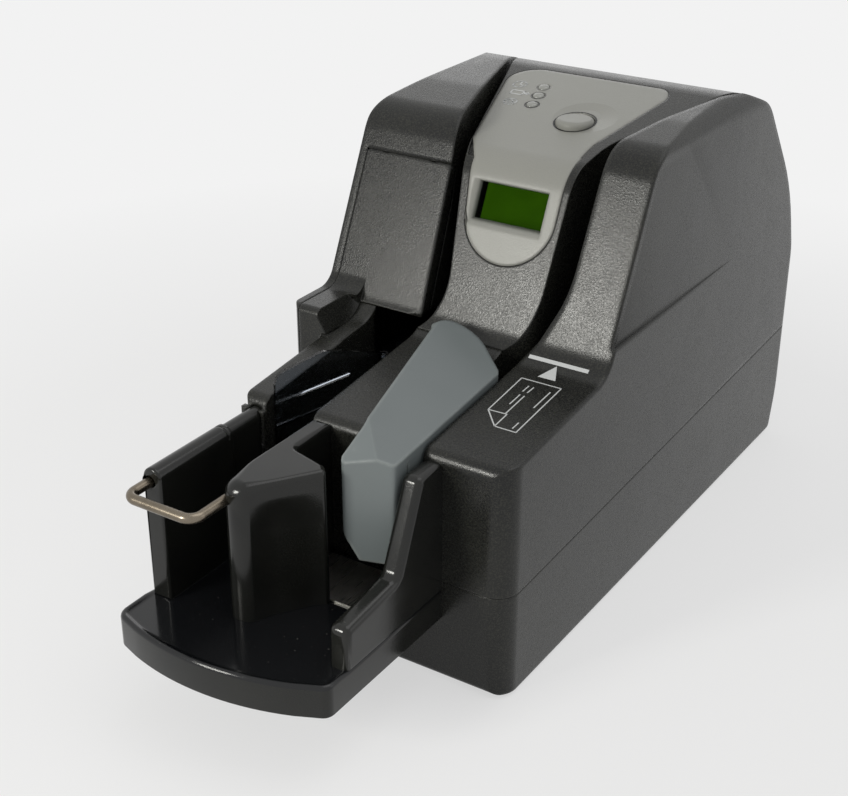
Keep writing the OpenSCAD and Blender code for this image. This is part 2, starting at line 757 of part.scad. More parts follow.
module pocket_wall() {
  wx = strip_r - pocket_wall_t / 2;
  groove_y = front_y - 23.8;
  color(shell_c) difference() {
    union() {
      translate([wx - pocket_wall_t / 2, fence_y, floor_z]) cube([pocket_wall_t, groove_y - fence_y, rim_z - floor_z]);
      translate([wx, fence_y, rim_z]) rotate([-90, 0, 0]) cylinder(r = pocket_wall_t / 2, h = groove_y - fence_y);
      translate([wx - pocket_wall_t / 2 + 0.9, groove_y - 1, floor_z]) cube([pocket_wall_t - 1.8, front_y - 3.1 - groove_y + 1, rim_z - floor_z]);
      translate([wx, groove_y - 1, rim_z]) rotate([-90, 0, 0]) cylinder(r = pocket_wall_t / 2 - 0.9, h = front_y - groove_y + 2.4);
    }
    translate([wx, groove_y - 3, rim_z]) rotate([-90, 0, 0]) difference() {
      cylinder(r = pocket_wall_t, h = 1);
      translate([0, 0, -1]) cylinder(r = pocket_wall_t / 2 - 0.5, h = 3);
      translate([-pocket_wall_t, -0.01, -1]) cube([2 * pocket_wall_t, pocket_wall_t, 3]);
    }
    translate([wire_x[0], fence_y - 1, wire_z]) rotate([-90, 0, 0]) cylinder(r = wire_r + wire_fit, h = wire_in + 6);
  }
}

module pocket_wedge() {
  color(shell_c) difference() {
    up(floor_z, wedge_z) rounded([[deck_l + 0.4, front_y], [deck_l + 0.4, front_y - 70.3], [deck_l + 12.3, front_y - 66.5],
      [deck_r - 17.5, front_y - 35], [deck_r - 19.9, front_y - 31], [deck_l + 10.3, front_y - 26.5],
      [deck_l + 10.3, front_y]], [0, 6, 3.5, 3, 2, 4, 0]);
    translate([wire_x[1], front_y - 73, wire_z]) rotate([-90, 0, 0]) cylinder(r = wire_r + wire_fit, h = wire_in + 6);
  }
}

module wire_leg(x, y0, y1) {
  translate([x, y0, wire_z]) rotate([-90, 0, 0]) cylinder(r = wire_r, h = y1 - y0);
}

module wire_corner(x, s) {
  translate([x + s * wire_bend, wire_y + wire_bend, wire_z]) intersection() {
    rotate_extrude() translate([wire_bend, 0]) circle(wire_r);
    translate([s > 0 ? -2 * wire_bend : 0, -2 * wire_bend, -wire_bend]) cube([2 * wire_bend, 2 * wire_bend, 2 * wire_bend]);
  }
}

module wire_stop() {
  color(steel_c) {
    for (x = wire_x) wire_leg(x, wire_y + wire_bend, fence_y + wire_in - wire_out);
    translate([wire_x[0] + wire_bend, wire_y, wire_z]) rotate([0, 90, 0])
      cylinder(r = wire_r, h = wire_x[1] - wire_x[0] - 2 * wire_bend);
    wire_corner(wire_x[0], 1);
    wire_corner(wire_x[1], -1);
  }
}

module pocket_divider() {
  color([0.55, 0.6, 0.65, 0.5]) translate([divider_c[0], divider_c[1], floor_z]) rotate([0, 0, -divider_angle]) difference() {
    union() {
      across(-divider_t / 2, divider_t / 2) rounded([[0, 4], [0, 75.8], [-24, 83.5], [-34, 85.9],
        [-divider_len + 1, 80], [-divider_len, 4]], [0, 0, 30, 12, 6, 8]);
      translate([0, 0, 4]) cylinder(r = 2.3, h = 71.8);
    }
    translate([0, 0, -1]) cylinder(r = divider_pin_r + 0.08, h = 90);
    for (z = [53, 64.7]) translate([-2, -divider_len - 1, z]) rotate([6.2, 0, 0]) cube([4, 43, 1]);
  }
}

module divider_pin() {
  color(steel_c) {
    translate([divider_c[0], divider_c[1], plate_z]) cylinder(r = divider_pin_r, h = 76);
    translate([divider_c[0], divider_c[1], floor_z]) cylinder(r = 2.2, h = 3.6);
  }
}

// Sloping slab that shapes the top plate of the flag
module flag_slab(t) {
  a = atan(tan(deck_rise) * cos(flag_tilt));
  translate([flag_r, front_y, deck_front_z + 2.5]) rotate([a, flag_tilt, 0])
    translate([-100, -90, -t]) cube([160, 200, t]);
}

module flag_plan() {
  rounded([[flag_r, nose_y + 8.5], [flag_r, front_y + 67.5], [12, front_y + 86], [-6, front_y + 82], [nose_l, front_y - 6.5],
    [nose_l, nose_y + 4.6], [nose_l + 1.8, nose_y + 1.4]], [2.5, 5, 26, 8, 30, 1.5, 2]);
}

module feeder_flag() {
  color(flag_col) difference() {
    union() {
      intersection() {
        up(deck_front_z - 10, body_h) flag_plan();
        flag_slab(flag_t);
      }
      difference() {
        intersection() {
          up(nose_low_z, body_h) union() {
            translate([flag_r - blade_t, front_y - 10]) square([blade_t, 76]);
            intersection() {
              flag_plan();
              translate([nose_l, nose_y]) square([40, 18]);
            }
          }
          flag_slab(far / 4);
        }
        intersection() {
          up(floor_z + 10, body_h) translate([nose_l + 3.4, nose_y + 9]) square([flag_r - blade_t - nose_l - 3.4, 40]);
          flag_slab(far / 4);
          translate([0, 0, -flag_t - 1]) flag_slab(far / 4);
        }
      }
      intersection() {
        translate([flag_c[0], flag_c[1], deck_z(flag_c[1]) + 0.9]) cylinder(r = hub_r, h = 14);
        translate([0, 0, -1]) flag_slab(far / 4);
      }
    }
    translate([flag_c[0], flag_c[1], floor_z]) cylinder(r = flag_pin_r + 0.07, h = deck_z(flag_c[1]) + 8.5 - floor_z);
    translate([nose_l + 0.6, front_y - 5.8, deck_front_z + 8.2]) rotate([24.2, -5.85, 0]) translate([-20, -50, 0]) cube([60, 60, 30]);
    translate([nose_l, nose_y - 1, nose_slant_z]) rotate([0, -29, 0]) translate([-40, 0, -60]) cube([40, 22, 60]);
  }
}

module flag_pin() {
  color(steel_c) translate([flag_c[0], flag_c[1], deck_z(flag_c[1]) - 24]) cylinder(r = flag_pin_r, h = 32);
}

module flag_spring() {
  zs = deck_z(flag_c[1]) + 1.25;
  color(steel_c) translate([flag_c[0], flag_c[1], zs]) {
    rotate_extrude() polygon(concat([for (i = [0:6]) [hub_r + (i % 2 == 0 ? 1.3 : 1.8), i * 0.5]],
      [[hub_r + 0.8, 3], [hub_r + 0.8, 0]]));
    translate([-hub_r - 1.3, 0, 0.6]) rotate([90, 0, 0]) cylinder(r = 0.45, h = 12);
    translate([hub_r + 1.3, 0, 2.4]) rotate([90, 0, 0]) cylinder(r = 0.45, h = 12);
  }
}

module hopper_plate() {
  color(steel_c) up(floor_z, floor_z + 1) polygon([[deck_r - 16.5, nose_y - 5.6], [right_wall_x - 0.5, nose_y - 5.6],
    [right_wall_x - 0.5, front_y - 2.5], [deck_l + 10.8, front_y - 2.5], [deck_l + 10.8, front_y - 23],
    [deck_l + 14.6, front_y - 26.9], [deck_r - 19.3, front_y - 30.5]]);
}

module chassis_plate() {
  color(steel_c) difference() {
    intersection() {
      envelope(cover_side, cover_side_r, wall + 0.3);
      up(plate_z, floor_z) square(far, center = true);
    }
    for (c = driven) translate([c[0], c[1], plate_z - 1]) cylinder(r = 4.02, h = 9);
    for (c = idlers) translate([c[0], c[1], plate_z - 1]) cylinder(r = pin_r + 0.02, h = 9);
    for (b = bosses) translate([b[0], b[1], plate_z - 1]) cylinder(r = screw_r + 0.2, h = 9);
    translate([divider_c[0], divider_c[1], plate_z - 1]) cylinder(r = divider_pin_r + 0.02, h = 9);
  }
}

// Rubber roller with two grooves
module roller(c, r, bore) {
  translate([c[0], c[1], roller_z]) difference() {
    cylinder(r = r, h = roller_l);
    translate([0, 0, -1]) cylinder(r = bore, h = roller_l + 2);
    for (z = [0.33, 0.67]) translate([0, 0, z * roller_l - 2]) difference() {
      cylinder(r = r + 1, h = 4);
      translate([0, 0, -1]) cylinder(r = r - 1.6, h = 6);
    }
  }
}

// Steel shaft with a pulley at each listed belt level
module pulley_shaft(c, levels, low) {
  translate([c[0], c[1], low]) cylinder(r = shaft_r, h = shaft_top - low);
  for (z = levels) translate([c[0], c[1], z - 0.5]) {
    cylinder(r = pulley_r, h = belt_h + 1);
    cylinder(r = pulley_r + 1.2, h = 0.35);
    translate([0, 0, belt_h + 0.65]) cylinder(r = pulley_r + 1.2, h = 0.35);
  }
}

module feed_roller() {
  color(rubber_c) roller(feed_c, feed_r, shaft_r + 0.02);
}

module feed_shaft() {
  color(steel_c) pulley_shaft(feed_c, [level_a], level_a - 2);
}

module entry_roller() {
  color(rubber_c) roller(entry_c, entry_r, shaft_r + 0.02);
}

module entry_shaft() {
  color(steel_c) pulley_shaft(entry_c, [level_a, level_b], level_b - 2);
}

module separator_roller() {
  color([0.35, 0.33, 0.3]) roller(separator_c, separator_r, pin_r + 0.06);
}

module turn_roller_right() {
  color(rubber_c) roller(turn_right_c, turn_roller_r, shaft_r + 0.02);
}

module turn_shaft_right() {
  color(steel_c) pulley_shaft(turn_right_c, [level_a, level_b, level_c], level_c - 2);
}

module turn_roller_left() {
  color(rubber_c) roller(turn_left_c, turn_roller_r, shaft_r + 0.02);
}

module turn_shaft_left() {
  color(steel_c) pulley_shaft(turn_left_c, [level_a], level_a - 2);
}

module pinch_roller_right() {
  color(rubber_c) roller(pinch_right_c, pinch_r, pin_r + 0.06);
}

module pinch_roller_left() {
  color(rubber_c) roller(pinch_left_c, pinch_r, pin_r + 0.06);
}

module idler_pins() {
  color(steel_c) for (c = idlers) translate([c[0], c[1], plate_z]) {
    cylinder(r = pin_r, h = shaft_top - plate_z);
    translate([0, 0, plate_t]) cylinder(r = pin_r + 1.2, h = roller_z - floor_z - 0.4);
  }
}

module shaft_bushes() {
  color([0.7, 0.55, 0.25]) for (c = driven) translate([c[0], c[1], plate_z - 0.8]) difference() {
    union() {
      cylinder(r = 4, h = plate_t + 6);
      translate([0, 0, plate_t + 0.8]) cylinder(r = 5.2, h = 1.2);
    }
    translate([0, 0, -1]) cylinder(r = shaft_r + shaft_fit, h = 20);
  }
}

// Flat loop around two pulleys
module belt(a, b, z) {
  d = norm(b - a);
  translate([a[0], a[1], z]) rotate([0, 0, atan2(b[1] - a[1], b[0] - a[0])]) linear_extrude(belt_h) difference() {
    loop(d, pulley_r + belt_play + belt_t);
    loop(d, pulley_r + belt_play);
  }
}

module loop(d, r) {
  circle(r);
  translate([d, 0]) circle(r);
  translate([0, -r]) square([d, 2 * r]);
}

module drive_belts() {
  color(rubber_c) {
    belt(feed_c, entry_c, level_a);
    belt(entry_c, turn_right_c, level_b);
    belt(turn_left_c, turn_right_c, level_a);
    belt(motor_c, turn_right_c, level_c);
  }
}

module main_motor() {
  color([0.4, 0.4, 0.42]) translate([motor_c[0], motor_c[1], base_floor_z]) difference() {
    union() {
      cylinder(r = motor_r, h = motor_top - base_floor_z - 1.5);
      cylinder(r = 6, h = motor_top - base_floor_z);
    }
    translate([0, 0, motor_top - base_floor_z - 5]) cylinder(r = 2 + shaft_fit, h = 6);
  }
}

module motor_shaft() {
  color(steel_c) translate([motor_c[0], motor_c[1], 0]) {
    translate([0, 0, motor_top - 4.7]) cylinder(r = 2, h = level_c + belt_h + 1 - motor_top + 4.7);
    translate([0, 0, level_c - 0.5]) cylinder(r = pulley_r, h = belt_h + 1);
    translate([0, 0, level_c - 0.5]) cylinder(r = pulley_r + 1.2, h = 0.35);
    translate([0, 0, level_c + belt_h + 0.15]) cylinder(r = pulley_r + 1.2, h = 0.35);
  }
}

module front_image_sensor() {
  color(dark_c) difference() {
    translate([right_wall_x + 9, sensor_y, floor_z]) cube([5.4, 22, sensor_h]);
    translate([right_wall_x + 8, sensor_y + 10, floor_z + 2]) cube([1.8, 2, sensor_h - 4]);
  }
}

module rear_image_sensor() {
  color(dark_c) difference() {
    translate([deck_r + 14.4, sensor_y, floor_z]) cube([4.2, 22, sensor_h]);
    translate([deck_r + 17.8, sensor_y + 10, floor_z + 2]) cube([1.8, 2, sensor_h - 4]);
  }
}

module magnetic_head() {
  color(steel_c) intersection() {
    translate([outer_right[0] - 6.5, head_y, floor_z]) cube([6.2, 10, 20]);
    translate([outer_right[0] + 3.5, head_y + 5, floor_z - 1]) cylinder(r = 10, h = 30);
  }
}

module ink_cartridge() {
  color([0.2, 0.22, 0.3]) {
    translate([cradle_at[0] + 2, cradle_at[1] + 2, floor_z + 2]) cube([24.6, 22, 44]);
    translate([cradle_at[0] + 26, cradle_at[1] + 6.6, floor_z + 10]) cube([9.4, 6, 18]);
    translate([cradle_at[0] + 8, cradle_at[1] + 6.6, floor_z + 46]) cube([12, 12, 3]);
  }
}

module cartridge_cradle() {
  color(dark_c) difference() {
    translate([cradle_at[0], cradle_at[1], floor_z]) cube([28.6, 26, 26]);
    translate([cradle_at[0] + 1.7, cradle_at[1] + 1.7, floor_z + 2]) cube([25.2, 22.6, 30]);
    translate([cradle_at[0] + 26, cradle_at[1] + 6.3, floor_z + 9.7]) cube([10, 6.6, 30]);
  }
}

module main_board() {
  color([0.12, 0.3, 0.16]) {
    translate([-62, 40, board_z]) cube([66, port_y - 60, 1.6]);
    for (x = [-56, -2]) for (y = [48, port_y - 30]) translate([x, y, base_floor_z]) cylinder(r = 2.5, h = 4.2);
    translate([-40, 90, base_floor_z + 5.5]) cube([24, 24, 3]);
    translate([-58, 60, base_floor_z + 5.5]) cube([10, 40, 8]);
    translate([-30, 140, base_floor_z + 5.5]) cube([18, 12, 4]);
  }
}

module power_inlet() {
  color(dark_c) difference() {
    translate([power_x - 6, port_y - 22, board_top]) cube([12, 18.5, 14.4]);
    translate([power_x, port_y - 14, port_z + 5]) rotate([-90, 0, 0]) cylinder(r = 3.2, h = 20);
  }
}

module data_port() {
  color(steel_c) difference() {
    translate([data_x - 7, port_y - 22, board_top]) cube([14, 18.5, 14.4]);
    translate([data_x - 4.5, port_y - 12, port_z + 1]) cube([9, 20, 8]);
  }
}

module rubber_feet() {
  color(rubber_c) for (f = feet) translate([f[0], f[1], 0]) cylinder(r = 8, h = foot_h);
}

module housing_screws() {
  color(steel_c) for (b = bosses) translate([b[0], b[1], 0]) {
    translate([0, 0, floor_z - 8]) cylinder(r = screw_r, h = 9);
    difference() {
      translate([0, 0, floor_z]) cylinder(r = 2.8, h = 2);
      translate([-2, -0.4, floor_z + 1.2]) cube([4, 0.8, 1]);
      translate([-0.4, -2, floor_z + 1.2]) cube([0.8, 4, 1]);
    }
  }
}

base_housing();
right_cover();
left_cover();
access_door();
centre_console();
centre_deck();
control_panel();
display_module();
display_window();
status_lamps();
feed_button();
panel_board();
front_tray();
pocket_wall();
pocket_wedge();
wire_stop();
pocket_divider();
divider_pin();
feeder_flag();
flag_pin();
flag_spring();
hopper_plate();
chassis_plate();
feed_roller();
feed_shaft();
entry_roller();
entry_shaft();
separator_roller();
turn_roller_right();
turn_shaft_right();
turn_roller_left();
turn_shaft_left();
pinch_roller_right();
pinch_roller_left();
idler_pins();
shaft_bushes();
drive_belts();
main_motor();
motor_shaft();
front_image_sensor();
rear_image_sensor();
magnetic_head();
ink_cartridge();
cartridge_cradle();
main_board();
power_inlet();
data_port();
door_hinge_pin();
rubber_feet();
housing_screws();
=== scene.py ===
import json
import math

import bmesh
import bpy
from mathutils import Matrix, Vector
from mathutils.bvhtree import BVHTree


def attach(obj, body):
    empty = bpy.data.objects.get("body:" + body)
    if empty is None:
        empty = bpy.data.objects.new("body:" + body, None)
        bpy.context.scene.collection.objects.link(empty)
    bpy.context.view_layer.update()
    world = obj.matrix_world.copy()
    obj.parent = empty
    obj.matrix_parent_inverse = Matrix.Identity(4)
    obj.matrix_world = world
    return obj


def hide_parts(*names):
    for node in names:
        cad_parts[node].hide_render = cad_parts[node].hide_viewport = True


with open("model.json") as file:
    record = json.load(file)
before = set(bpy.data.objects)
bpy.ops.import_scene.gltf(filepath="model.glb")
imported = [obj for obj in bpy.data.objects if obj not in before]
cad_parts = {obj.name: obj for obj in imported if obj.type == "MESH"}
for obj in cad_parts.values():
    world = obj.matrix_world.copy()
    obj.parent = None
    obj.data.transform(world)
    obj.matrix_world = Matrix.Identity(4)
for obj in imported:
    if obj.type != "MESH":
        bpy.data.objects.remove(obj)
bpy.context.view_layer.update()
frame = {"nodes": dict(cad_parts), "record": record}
NODES = frame["nodes"]
MM = 0.001


# Camera, fitted to the straight edges of the photo
CAMERA_AT = Vector((356.6, -606.6, 441.7)) * MM
AZIMUTH = math.radians(32.99)
ELEVATION = math.radians(26.88)
SENSOR = 36
LENS = 65.18


def make_camera():
    data = bpy.data.cameras.new("view")
    data.sensor_width = SENSOR
    data.lens = LENS
    data.clip_start = 0.01
    data.clip_end = 50
    cam = bpy.data.objects.new("view", data)
    bpy.context.scene.collection.objects.link(cam)
    level = math.cos(ELEVATION)
    back = Vector((math.sin(AZIMUTH) * level, -math.cos(AZIMUTH) * level, math.sin(ELEVATION)))
    cam.location = CAMERA_AT
    cam.rotation_mode = "QUATERNION"
    cam.rotation_quaternion = (-back).to_track_quat("-Z", "Y")
    bpy.context.scene.camera = cam


make_camera()


# Shader tools
class Shader:
    """A node tree under construction, of a material or the world: short calls for shared nodes."""

    def __init__(self, owner, out="ShaderNodeOutputMaterial"):
        owner.use_nodes = True
        self.owner = owner
        self.tree = owner.node_tree
        self.tree.nodes.clear()
        self.out = self.tree.nodes.new(out)
        self.place = None

    @property
    def coord(self):
        """Places on the object, in metres."""
        if self.place is None:
            self.place = self.tree.nodes.new("ShaderNodeTexCoord").outputs["Object"]
        return self.place

    def feed(self, socket, value):
        """Link a socket to another one, or give it a plain value."""
        if isinstance(value, bpy.types.NodeSocket):
            self.tree.links.new(value, socket)
        else:
            socket.default_value = value

    def node(self, kind, ins=None, **props):
        n = self.tree.nodes.new(kind)
        for key, value in props.items():
            setattr(n, key, value)
        for key, value in (ins or {}).items():
            self.feed(n.inputs[key], value)
        return n

    def noise(self, scale, detail=2.0, rough=0.5, coord=None):
        return self.node("ShaderNodeTexNoise", {"Vector": coord or self.coord, "Scale": scale,
                                                "Detail": detail, "Roughness": rough}).outputs["Fac"]

    def ramp(self, value, lo, hi, to_lo=0.0, to_hi=1.0):
        return self.node("ShaderNodeMapRange", {"Value": value, "From Min": lo, "From Max": hi,
                                                "To Min": to_lo, "To Max": to_hi}).outputs["Result"]

    def math(self, op, a, b=0.0):
        return self.node("ShaderNodeMath", {0: a, 1: b}, operation=op).outputs[0]

    def times(self, a, b):
        return self.math("MULTIPLY", a, b)

    def plus(self, a, b):
        return self.math("ADD", a, b)

    def mix(self, fac, a, b):
        n = self.node("ShaderNodeMix", {"Factor": fac}, data_type="RGBA")
        self.feed(n.inputs[6], a)
        self.feed(n.inputs[7], b)
        return n.outputs[2]

    def axes(self, vector):
        """The three parts of a vector socket."""
        return self.node("ShaderNodeSeparateXYZ", {0: vector}).outputs

    def normal(self):
        return self.node("ShaderNodeNewGeometry").outputs["Normal"]

    def stretched(self, x, y, z):
        return self.node("ShaderNodeMapping", {"Vector": self.coord, "Scale": (x, y, z)}).outputs[0]

    def bump(self, height, strength, distance, normal=None):
        ins = {"Height": height, "Strength": strength, "Distance": distance}
        if normal is not None:
            ins["Normal"] = normal
        return self.node("ShaderNodeBump", ins).outputs[0]

    def bevel(self, radius, samples):
        return self.node("ShaderNodeBevel", {"Radius": radius}, samples=samples).outputs[0]

    def edges(self, radius):
        """1 along convex and concave edges, 0 on flat ground."""
        ends = {0: self.bevel(radius, 4), 1: self.normal()}
        dot = self.node("ShaderNodeVectorMath", ends, operation="DOT_PRODUCT").outputs["Value"]
        return self.ramp(dot, 0.995, 0.90)

    def seen(self):
        """1 for what the camera sees, straight or by reflection or through glass."""
        path = self.node("ShaderNodeLightPath").outputs
        direct = self.math("MAXIMUM", path["Is Camera Ray"], path["Is Glossy Ray"])
        return self.math("MAXIMUM", direct, path["Is Transmission Ray"])

    def show(self, shader):
        self.tree.links.new(shader, self.out.inputs[0])
        return self.owner

    def blend(self, fac, one, two):
        """Show one shader node, or the other where fac is 1."""
        ins = {0: fac, 1: one.outputs[0], 2: two.outputs[0]}
        return self.show(self.node("ShaderNodeMixShader", ins).outputs[0])

    def finish(self, **ins):
        """Show a Principled shader; spaces in its socket names are written as underscores."""
        spaced = {key.replace("_", " "): value for key, value in ins.items()}
        return self.show(self.node("ShaderNodeBsdfPrincipled", spaced).outputs[0])


def material(name):
    """The shader tools on a new material."""
    return Shader(bpy.data.materials.new(name))


def rgb(r, g, b):
    """Display values 0 to 255 as linear colour."""
    def lin(v):
        v /= 255
        return v / 12.92 if v <= 0.04045 else ((v + 0.055) / 1.055) ** 2.4
    return (lin(r), lin(g), lin(b), 1.0)


# Surface patterns: scales in repeats per metre, depths in metres
CLOUD_SCALE = 14
PATCH_SCALE = 55
WAVE_SCALE = 60
WAVE_DEPTH = 0.00012
GRAIN_DEPTH = 0.0003
FLECK_FINER = 1.1
SPECK_SCALE = 700
SCRATCH_SCALE = 260
SCRATCH_LONG = 0.06
DUST_GREY = rgb(120, 118, 112)
STAIN_SCALE = 120
BRUSH_DEPTH = 0.00005


def flecked(s, base, worn, scale, amount):
    """Lighter flecks, slightly finer than the grain."""
    spots = s.ramp(s.noise(scale * FLECK_FINER, 1, 0.5), 0.46, 0.66)
    return s.mix(s.times(spots, amount), base, worn)


def dusted(s, base, amount):
    """Stray specks on what faces up."""
    up = s.ramp(s.axes(s.normal())[2], 0.5, 1.0)
    specks = s.ramp(s.noise(SPECK_SCALE, 0, 0.0), 0.80, 0.86)
    return s.mix(s.times(s.times(up, specks), amount), base, DUST_GREY)


def rubbed_and_lit_edges(s, base, worn, patches, radius):
    """Edges lighter, unevenly: wear, and on the flag also a painted highlight."""
    rim = s.times(s.edges(radius), s.ramp(patches, 0.0, 1.0, 0.1, 0.45))
    return s.mix(rim, base, worn)


def scratched(s, rough, amount):
    """Long streaks that are duller than the rest."""
    lines = s.ramp(s.noise(SCRATCH_SCALE, 3, 0.7, s.stretched(SCRATCH_LONG, 1.0, 1.0)), 0.62, 0.66)
    return s.plus(rough, s.times(lines, amount))


def plastic(name, colour, worn, rough, grain=0.0, grain_scale=1400.0, sparkle=0.0, flecks=0.12,
            specular=0.5, mottle=0.2, edge=0.0007, dust=0.0, scratch=0.0, rounding=0.0, relief=None):
    """Moulded plastic: mottled colour, fine grain, lighter edges and stray dust; the lighter edges are wear,
    and on the flag also a painted highlight.

    rounding is the radius that edges show in the light: a number, or a function that makes a socket.
    relief is a pair: a function that makes a height socket, and its depth."""
    s = material(name)
    cloud = s.ramp(s.noise(CLOUD_SCALE, 3, 0.55), 0.3, 0.7)
    patches = s.ramp(s.noise(PATCH_SCALE, 4, 0.6), 0.35, 0.75)
    fine = s.noise(grain_scale, 2.5, 0.62)

    base = s.mix(s.times(cloud, mottle), colour, worn)
    if grain:
        base = flecked(s, base, worn, grain_scale, flecks)
    if dust:
        base = dusted(s, base, dust)
    if edge:
        base = rubbed_and_lit_edges(s, base, worn, patches, edge)

    gloss = s.ramp(patches, 0.0, 1.0, rough - 0.03, rough + 0.03)
    if sparkle:
        gloss = s.plus(gloss, s.ramp(fine, 0.36, 0.64, sparkle, -sparkle))
    if scratch:
        gloss = scratched(s, gloss, scratch)

    normal = None
    if rounding:
        normal = s.bevel(rounding(s) if callable(rounding) else rounding, 8)
    if relief:
        height, depth = relief
        normal = s.bump(height(s), 1.0, depth, normal)
    normal = s.bump(s.noise(WAVE_SCALE, 2, 0.5), 0.12, WAVE_DEPTH, normal)
    if grain:
        normal = s.bump(fine, grain, GRAIN_DEPTH, normal)
    return s.finish(Base_Color=base, Roughness=gloss, Specular_IOR_Level=specular, Normal=normal)


def metal(name, colour, dark, rough, brushed=(1, 1, 1), scale=900.0, grain=0.1):
    """Bare metal with fine streaks and darker stains."""
    s = material(name)
    streak = s.noise(scale, 3, 0.6, s.stretched(*brushed))
    stain = s.ramp(s.noise(STAIN_SCALE, 3, 0.6), 0.35, 0.7)
    base = s.mix(s.times(stain, 0.45), colour, dark)
    gloss = s.ramp(streak, 0.3, 0.7, rough - 0.05, rough + 0.07)
    return s.finish(Base_Color=base, Metallic=1.0, Roughness=gloss, Normal=s.bump(streak, grain, BRUSH_DEPTH))


def clear(name, colour, rough, haze):
    """Clear moulded sheet with faint haze and hairline scratches."""
    s = material(name)
    cloud = s.ramp(s.noise(60, 4, 0.6), 0.35, 0.75)
    lines = s.ramp(s.noise(380, 3, 0.7, s.stretched(1.0, 1.0, 0.08)), 0.64, 0.70)
    gloss = s.plus(s.ramp(cloud, 0, 1, rough, rough + haze), s.times(lines, 0.1))
    tint = s.mix(s.times(cloud, 0.3), colour, rgb(235, 238, 240))
    return s.finish(Base_Color=tint, Roughness=gloss, Transmission_Weight=1.0, IOR=1.45)


def pane(name):
    """A thin clear window: see-through, with a weak smeared gloss."""
    s = material(name)
    smear = s.ramp(s.noise(70, 4, 0.6), 0.35, 0.75)
    tint = s.mix(smear, rgb(246, 248, 246), rgb(238, 241, 238))
    thin = s.node("ShaderNodeBsdfTransparent", {"Color": tint})
    gloss = s.node("ShaderNodeBsdfGlossy", {"Color": rgb(230, 234, 234),
                                            "Roughness": s.ramp(smear, 0, 1, 0.2, 0.3)})
    facing = s.node("ShaderNodeFresnel", {"IOR": 1.02}).outputs[0]
    return s.blend(facing, thin, gloss)


DOT_PITCH = 0.00062
DOT_GAP = 0.14


def display(name):
    """Reflective liquid crystal glass: a green field with a faint dot grid."""
    s = material(name)
    at = s.axes(s.coord)
    dots = [s.ramp(s.math("FRACT", s.times(at[axis], 1.0 / DOT_PITCH)), 0.0, DOT_GAP) for axis in (0, 2)]
    grid = s.times(dots[0], dots[1])
    cloud = s.ramp(s.noise(40, 2, 0.5), 0.3, 0.7)
    field = s.mix(cloud, rgb(44, 78, 2), rgb(54, 92, 6))
    field = s.mix(s.ramp(grid, 0, 1, 0.16, 0.0), field, rgb(24, 52, 10))
    return s.finish(Base_Color=field, Roughness=s.ramp(cloud, 0, 1, 0.5, 0.6), Specular_IOR_Level=0.0)


# Finishes of the black mouldings
SPARK = {"rough": 0.27, "grain": 0.3, "grain_scale": 1250, "sparkle": 0.08, "flecks": 0.45,
         "specular": 0.34, "dust": 0.1}
SATIN = {**SPARK, "rough": 0.17, "grain": 0.1, "sparkle": 0.02, "flecks": 0.04, "specular": 0.38}


def moulding(name, rounding, look=SPARK):
    """The black plastic of the covers, in one of the finishes."""
    return plastic(name, rgb(15, 16, 16), rgb(62, 62, 55), rounding=rounding, **look)


def along(axis, start, low, high, span=0.004):
    """A rounding radius that grows from low to high past a place on an axis."""
    return lambda s: s.ramp(s.axes(s.coord)[axis], start, start + span, low, high)


# The finger recess beside the feed button, which the panel's shading shows
BUTTON_AT = (14.5, 58.5)
DISH_SHIFT = (2.5, 6.0)
DISH_FLAT = 0.008
DISH_RIM = 0.0165
DISH_DEPTH = 0.0012


def button_dish(s):
    """0 in the flat middle of the recess, 1 past its rim."""
    at = s.axes(s.coord)
    dx, dy = (s.math("SUBTRACT", at[k], (BUTTON_AT[k] + DISH_SHIFT[k]) * MM) for k in (0, 1))
    far = s.math("SQRT", s.plus(s.times(dx, dx), s.times(dy, dy)))
    return s.ramp(far, DISH_FLAT, DISH_RIM)


